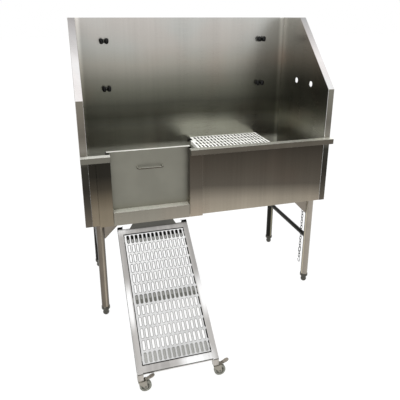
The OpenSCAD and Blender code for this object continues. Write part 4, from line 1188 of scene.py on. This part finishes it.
class TUB_OT_casters(bpy.types.Operator):
    """Makes the wheels, axles with nuts, swivel bearings and the pedals' moulded shoes"""

    bl_idname = "tub.casters"
    bl_label = "Casters"

    def execute(self, context):
        sizes = context.scene.tub_casters
        for side in ("left", "right"):
            self.add_wheel(sizes, "caster_wheel_" + side)
            self.add_axle(sizes, "caster_axle_" + side)
            self.add_cup(sizes, "caster_fork_" + side)
            self.add_shoe(sizes, "brake_pedal_" + side)
        return {"FINISHED"}

    def at_axle(self, node):
        """Turns a lathed form from upright to the axle's direction, in its place."""
        low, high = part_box(node)
        return move((low + high) / 2) @ turn(math.pi / 2, "X")

    def add_wheel(self, sizes, node):
        """A tyre on a hub that is open between its ribs."""
        radius, half, hub = sizes.wheel[0] / 2, sizes.wheel[1] / 2, sizes.hub / 2
        bore = sizes.axle / 2 + 0.1 * MM
        tread = [
            (hub - 0.5 * MM, half - 1.6 * MM), (hub + 2 * MM, half - 0.5 * MM),
            (radius - 2.6 * MM, half), (radius - 0.9 * MM, half - 1.2 * MM),
            (radius - 0.15 * MM, half - 3 * MM), (radius, half - 5 * MM)]
        tyre = lathe(mirrored(tread), 72)
        face = [
            (bore, half), (5.4 * MM, half), (6.4 * MM, half - 0.7 * MM),
            (7.2 * MM, half - 4.5 * MM), (9 * MM, half - 5.6 * MM),
            (hub - 3.4 * MM, half - 5.6 * MM), (hub - 2.2 * MM, half - 4.6 * MM),
            (hub - 1.6 * MM, half - 1.6 * MM), (hub - 0.3 * MM, half - 1.2 * MM)]
        parts = [painted(tyre, 0), painted(lathe(mirrored(face)), 1)]
        for k in range(sizes.ribs):
            rib = block(
                (6 * MM, -0.8 * MM, 2 * MM - half), (hub - 1.6 * MM, 0.8 * MM, half - 2 * MM))
            parts.append(painted(placed(rib, turn(2 * math.pi * k / sizes.ribs, "Z")), 1))
        whole = placed(joined(parts), self.at_axle(node))
        add_form(node + "_full", whole, node, ["wheel", "hub"], [node], 0.7)

    def add_axle(self, sizes, node):
        """The axle with a six-sided nut at each end."""
        low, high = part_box(node)
        half, radius, nut = (high.y - low.y) / 2, sizes.axle / 2, sizes.nut / 2
        head = half - 1.5 * MM
        parts = [lathe([(0, -half), (radius, -half), (radius, half), (0, half)], 20)]
        for side in (-1, 1):
            hexagon = lathe([
                (0, head), (nut, head), (nut, half - 0.5 * MM), (nut - 0.6 * MM, half - 0.1 * MM),
                (0, half - 0.1 * MM)], 6)
            parts.append(placed(hexagon, Matrix.Scale(side, 4, (0, 0, 1))))
        whole = placed(joined(parts), self.at_axle(node))
        bmesh.ops.recalc_face_normals(whole, faces=whole.faces)
        add_form(node + "_nuts", whole, node, ["screw"], [node])

    def add_cup(self, sizes, node):
        """The bearing between the fork and its stem, as two pressed cups."""
        low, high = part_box(node)
        stems_low, stems_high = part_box("caster_stems")
        stem = 7 * MM
        x = stems_low.x + stem if "left" in node else stems_high.x - stem
        radius = sizes.cup / 2
        top = high.z - 0.1 * MM
        cup = lathe([
            (5 * MM, top), (radius - 3 * MM, top), (radius - 1 * MM, top - 1 * MM),
            (radius, top - 2.4 * MM), (radius - 0.7 * MM, top - 2.8 * MM),
            (radius - 0.2 * MM, top - 3.2 * MM), (radius - 1 * MM, top - 5 * MM),
            (radius - 3 * MM, top - 5.9 * MM), (5 * MM, top - 5.9 * MM)])
        place = move((x, (low.y + high.y) / 2, 0))
        add_form(node + "_cup", placed(cup, place), node, ["caster"])

    def add_shoe(self, sizes, node):
        """A moulded shoe on the pedal's tip, with ribs across it.

        Its sections are shares of its full size, each with its height in millimetres.
        """
        low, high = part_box(node)
        pivot = Vector((low.x + 2 * MM, (low.y + high.y) / 2, low.z + 2 * MM))
        half = (high.y - low.y) / 2 - 3 * MM
        middle, length, rib = 27 * MM, 26 * MM, half * 0.72
        sections = [(0.94, -1.9), (1.0, -1.2), (1.0, 2.2), (0.9, 3.0)]
        shoe = loft([
            [(x + middle, y, z * MM) for x, y, z in stadium(length * k, 2 * half * k, z)]
            for k, z in sections])
        parts = [shoe] + [
            block((x * MM, -rib, 2.6 * MM), ((x + 1.3) * MM, rib, 3.5 * MM))
            for x in (20, 24, 28, 32)]
        place = move(pivot) @ turn(-sizes.pedal, "Y")
        for part in parts:
            bmesh.ops.recalc_face_normals(part, faces=part.faces)
        add_form(node + "_shoe", placed(joined(parts), place), node, ["pedal"])


class TubWelds(bpy.types.PropertyGroup):
    """The weld seams."""

    width: length_prop("Width", "Width of a bead", 3.4 * MM)
    step: length_prop("Step", "Distance between the ripples of a bead", 1.9 * MM)
    gusset: length_prop("Gusset", "Thickness of a gusset", 3 * MM)
    top: length_prop("Top", "Height at which the beads along the gussets end", 512 * MM)


class TUB_OT_welds(bpy.types.Operator):
    """Lays rippled weld beads along the seams of the stand and the ramp"""

    bl_idname = "tub.welds"
    bl_label = "Weld seams"

    # Where the supports cross the ramp, as shares of its length
    support_shares = (0.04, 0.46, 0.96)

    def execute(self, context):
        sizes = context.scene.tub_welds
        self.seams("stand_welds", self.stand_lines(sizes), sizes, "leg_gussets")
        self.seams("ramp_welds", self.ramp_lines(), sizes, "ramp_frame")
        return {"FINISHED"}

    def stand_lines(self, sizes):
        """Down both sides of each gusset at its leg, and round the ends of the stretchers."""
        lines, steps = [], 32
        gusset_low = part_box("leg_gussets")[0]
        for place in LEGS:
            low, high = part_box("leg_" + place)
            middle = (low + high) / 2
            inner = high.x if "left" in place else low.x
            for side in (-1, 1):
                y = middle.y + side * sizes.gusset / 2
                lines.append([(inner, y, gusset_low.z + 2 * MM), (inner, y, sizes.top)])
            bar_low, bar_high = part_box("side_stretcher_" + place.split("_")[1])
            centre = (bar_low + bar_high) / 2
            bar, leg = (bar_high.x - bar_low.x) / 2, (high.x - low.x) / 2
            to_bar = 1 if "front" in place else -1
            ring = []
            for k in range(steps + 1):
                angle = 2 * math.pi * k / steps
                x, z = bar * math.cos(angle), bar * math.sin(angle)
                depth = math.sqrt(leg * leg - x * x)
                ring.append((centre.x + x, middle.y + to_bar * depth, centre.z + z))
            lines.append(ring)
        return lines

    def ramp_lines(self):
        """Down the inner corners where the supports meet the side tubes.

        Half a support's width and a bead's length are in millimetres.
        """
        low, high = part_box("ramp_supports")
        lines = []
        slope = math.atan2(high.z - low.z, high.y - low.y)
        panel_low, panel_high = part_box("ramp_panel")
        run = Vector((0, math.cos(slope), math.sin(slope)))
        down = Vector((0, run.z, -run.y))
        half, bead = 10, 8
        start = Vector((0, panel_low.y, panel_low.z)) + down * half * MM
        for share in self.support_shares:
            at = start + run * share * (panel_high - panel_low).length
            for x in (low.x, high.x):
                for side in (-half, half):
                    corner = Vector((x, 0, 0)) + at + run * side * MM
                    lines.append([tuple(corner), tuple(corner + down * bead * MM)])
        return lines

    def seams(self, name, lines, sizes, like):
        """Beads along lines, each a row of ripples of uneven size."""
        corners, edges = [], []
        for line in lines:
            first = len(corners)
            corners += line
            edges += [(k, k + 1) for k in range(first, len(corners) - 1)]
        carrier = bpy.data.meshes.new(name)
        carrier.from_pydata(corners, edges, [])
        rule = Rule(name, {"Bead Width": sizes.width, "Ripple": sizes.step})
        size = rule.size
        path = rule.add("GeometryNodeMeshToCurve", {}, [size("Geometry")])
        path = rule.add("GeometryNodeResampleCurve", {"mode": "LENGTH"}, {
            "Curve": path, "Length": size("Ripple")})
        along = rule.add("FunctionNodeAlignRotationToVector", {"axis": "X"}, {
            "Vector": rule.add("GeometryNodeInputTangent")})
        jitter = rule.add("FunctionNodeRandomValue", {"data_type": "FLOAT"}, {
            "Min": 0.85, "Max": 1.12, "Seed": 4}, 1)
        width = size("Bead Width")
        ripple = rule.add("GeometryNodeMeshUVSphere", {}, {
            "Segments": 8, "Rings": 5, "Radius": 0.5})
        ripple = rule.add("GeometryNodeTransform", {}, {
            "Geometry": ripple, "Scale": rule.vector(width * 0.7, width, width)})
        made = rule.repeat(path, ripple, Rotation=along, Scale=rule.vector(jitter, jitter, jitter))
        made = rule.add("GeometryNodeSetShadeSmooth", {}, [made])
        mesh = rule.run(made, FINISHES["weld"], carrier)
        add_piece(name, mesh, like, [])


# Stage and finishes

class TubStage(bpy.types.PropertyGroup):
    """The camera, floor and lights."""

    camera_at: FloatVectorProperty(
        name="Camera", description="Place of the camera, measured from the front panel",
        default=(-0.6479, -1.9725, 1.4667), unit="LENGTH", subtype="TRANSLATION")
    camera_pitch: angle_prop("Pitch", "How far the camera looks down", 0.3147)
    camera_turn: angle_prop("Turn", "How far the camera looks to the right", 0.2768)
    lens: FloatProperty(name="Lens", description="Focal length in millimetres", default=40.0)
    shift: FloatVectorProperty(
        name="Shift", description="Shift of the frame", size=2, default=(0.0074, -0.0973))
    floor_size: length_prop("Floor", "Width of the floor", 60.0)


class TUB_OT_finishes(bpy.types.Operator):
    """Gives every node its finish"""

    bl_idname = "tub.finishes"
    bl_label = "Finishes"

    def execute(self, context):
        for finishes in (sheet_finishes, tube_finishes, fitting_finishes, ramp_finishes):
            FINISHES.update(finishes())
        for name, node in NODES.items():
            dress(node.data, FINISHES[finish_name(name)])
        return {"FINISHED"}


class TUB_OT_stage(bpy.types.Operator):
    """Sets up the floor, the backdrop, the lights and the camera"""

    bl_idname = "tub.stage"
    bl_label = "Stage"

    def execute(self, context):
        stage = context.scene.tub_stage
        self.add_floor(stage)
        self.add_world(context.scene)
        self.add_lights()
        self.add_camera(context.scene, stage)
        context.scene.view_settings.view_transform = "Standard"
        return {"FINISHED"}

    def seen(self, tree):
        """1 where the camera, a polished face or clear glass looks, and 0 for other rays."""
        path = tree.add("ShaderNodeLightPath", {}, (), "Is Camera Ray")
        glossy = path.other("Is Glossy Ray")
        clear = path.other("Is Transmission Ray")
        return path.math("MAXIMUM", path.math("MAXIMUM", path, glossy), clear)

    def add_floor(self, stage):
        half = stage.floor_size / 2
        mesh = bpy.data.meshes.new("studio_floor")
        corners = [(-half, -half, 0), (half, -half, 0), (half, half, 0), (-half, half, 0)]
        mesh.from_pydata(corners, [], [(0, 1, 2, 3)])
        floor = new_object("studio_floor", mesh)
        paint = Finish("studio_floor", {"Base Color": (0.82, 0.82, 0.82, 1), "Roughness": 0.9})
        glow = paint.add("ShaderNodeEmission", {}, {"Color": (1, 1, 1, 1), "Strength": 1.15})
        lit = Sock(paint, paint.surface.outputs[0])
        mixed = paint.add("ShaderNodeMixShader", {}, [self.seen(paint) * 0.8, lit, glow])
        output = paint.tree.nodes["Material Output"]
        paint.tree.links.new(mixed.output, output.inputs["Surface"])
        dress(mesh, paint.material)

    def add_world(self, scene):
        scene.world = scene.world or bpy.data.worlds.new("studio")
        scene.world.use_nodes = True
        sky = Tree(scene.world.node_tree)
        background = sky.tree.nodes["Background"]
        background.inputs["Color"].default_value = (1, 1, 1, 1)
        strength = self.seen(sky) * 0.35 + 0.65
        sky.tree.links.new(strength.output, background.inputs["Strength"])

    def add_lights(self):
        """Lamps, each with its place, width and power."""
        lamps = {
            "key": ((-2.4, -2.6, 3.2), 2.0, 60), "fill": ((3.0, -2.2, 2.4), 2.4, 12),
            "overhead": ((0.1, 0.35, 2.6), 1.2, 32),
        }
        for name, (at, size, power) in lamps.items():
            lamp = bpy.data.lights.new(name, "AREA")
            lamp.size = size
            lamp.energy = power
            light = new_object(name, lamp)
            light.location = at
            aim = Vector((0, 0, 0.7)) - light.location
            light.rotation_euler = aim.to_track_quat("-Z", "Y").to_euler()
            light.visible_glossy = name != "overhead"

    def add_camera(self, scene, stage):
        lens = bpy.data.cameras.new("photo_camera")
        lens.lens = stage.lens
        lens.sensor_width = 36.0
        lens.shift_x, lens.shift_y = stage.shift
        camera = new_object("photo_camera", lens)
        front_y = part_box("apron_right")[0].y
        camera.location = Vector(stage.camera_at) + Vector((0, front_y, 0))
        camera.rotation_euler = (math.pi / 2 - stage.camera_pitch, 0, -stage.camera_turn)
        scene.camera = camera


# Add-on

class TUB_PT_panel(bpy.types.Panel):
    """Lists the tub's pieces in the sidebar"""

    bl_idname = "TUB_PT_panel"
    bl_label = "Dog Grooming Tub"
    bl_space_type = "VIEW_3D"
    bl_region_type = "UI"
    bl_category = "Tub"

    def draw(self, context):
        for operator in OPERATORS:
            self.layout.operator(operator.bl_idname)


SETTINGS = {
    "tub_stage": TubStage, "tub_sheets": TubSheets, "tub_plates": TubPlates,
    "tub_chain": TubChain, "tub_pegs": TubPegs, "tub_feet": TubFeet,
    "tub_casters": TubCasters, "tub_welds": TubWelds,
}
OPERATORS = (
    TUB_OT_stage, TUB_OT_finishes, TUB_OT_sheets, TUB_OT_plates, TUB_OT_chain, TUB_OT_pegs,
    TUB_OT_feet, TUB_OT_casters, TUB_OT_welds,
)
CLASSES = (*SETTINGS.values(), *OPERATORS, TUB_PT_panel)


def register():
    for cls in CLASSES:
        bpy.utils.register_class(cls)
    for name, group in SETTINGS.items():
        setattr(bpy.types.Scene, name, PointerProperty(type=group))


def unregister():
    for name in SETTINGS:
        delattr(bpy.types.Scene, name)
    for cls in reversed(CLASSES):
        bpy.utils.unregister_class(cls)


def main():
    register()
    for operator in OPERATORS:
        group, name = operator.bl_idname.split(".")
        getattr(getattr(bpy.ops, group), name)()
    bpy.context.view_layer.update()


if __name__ == "__main__":
    main()
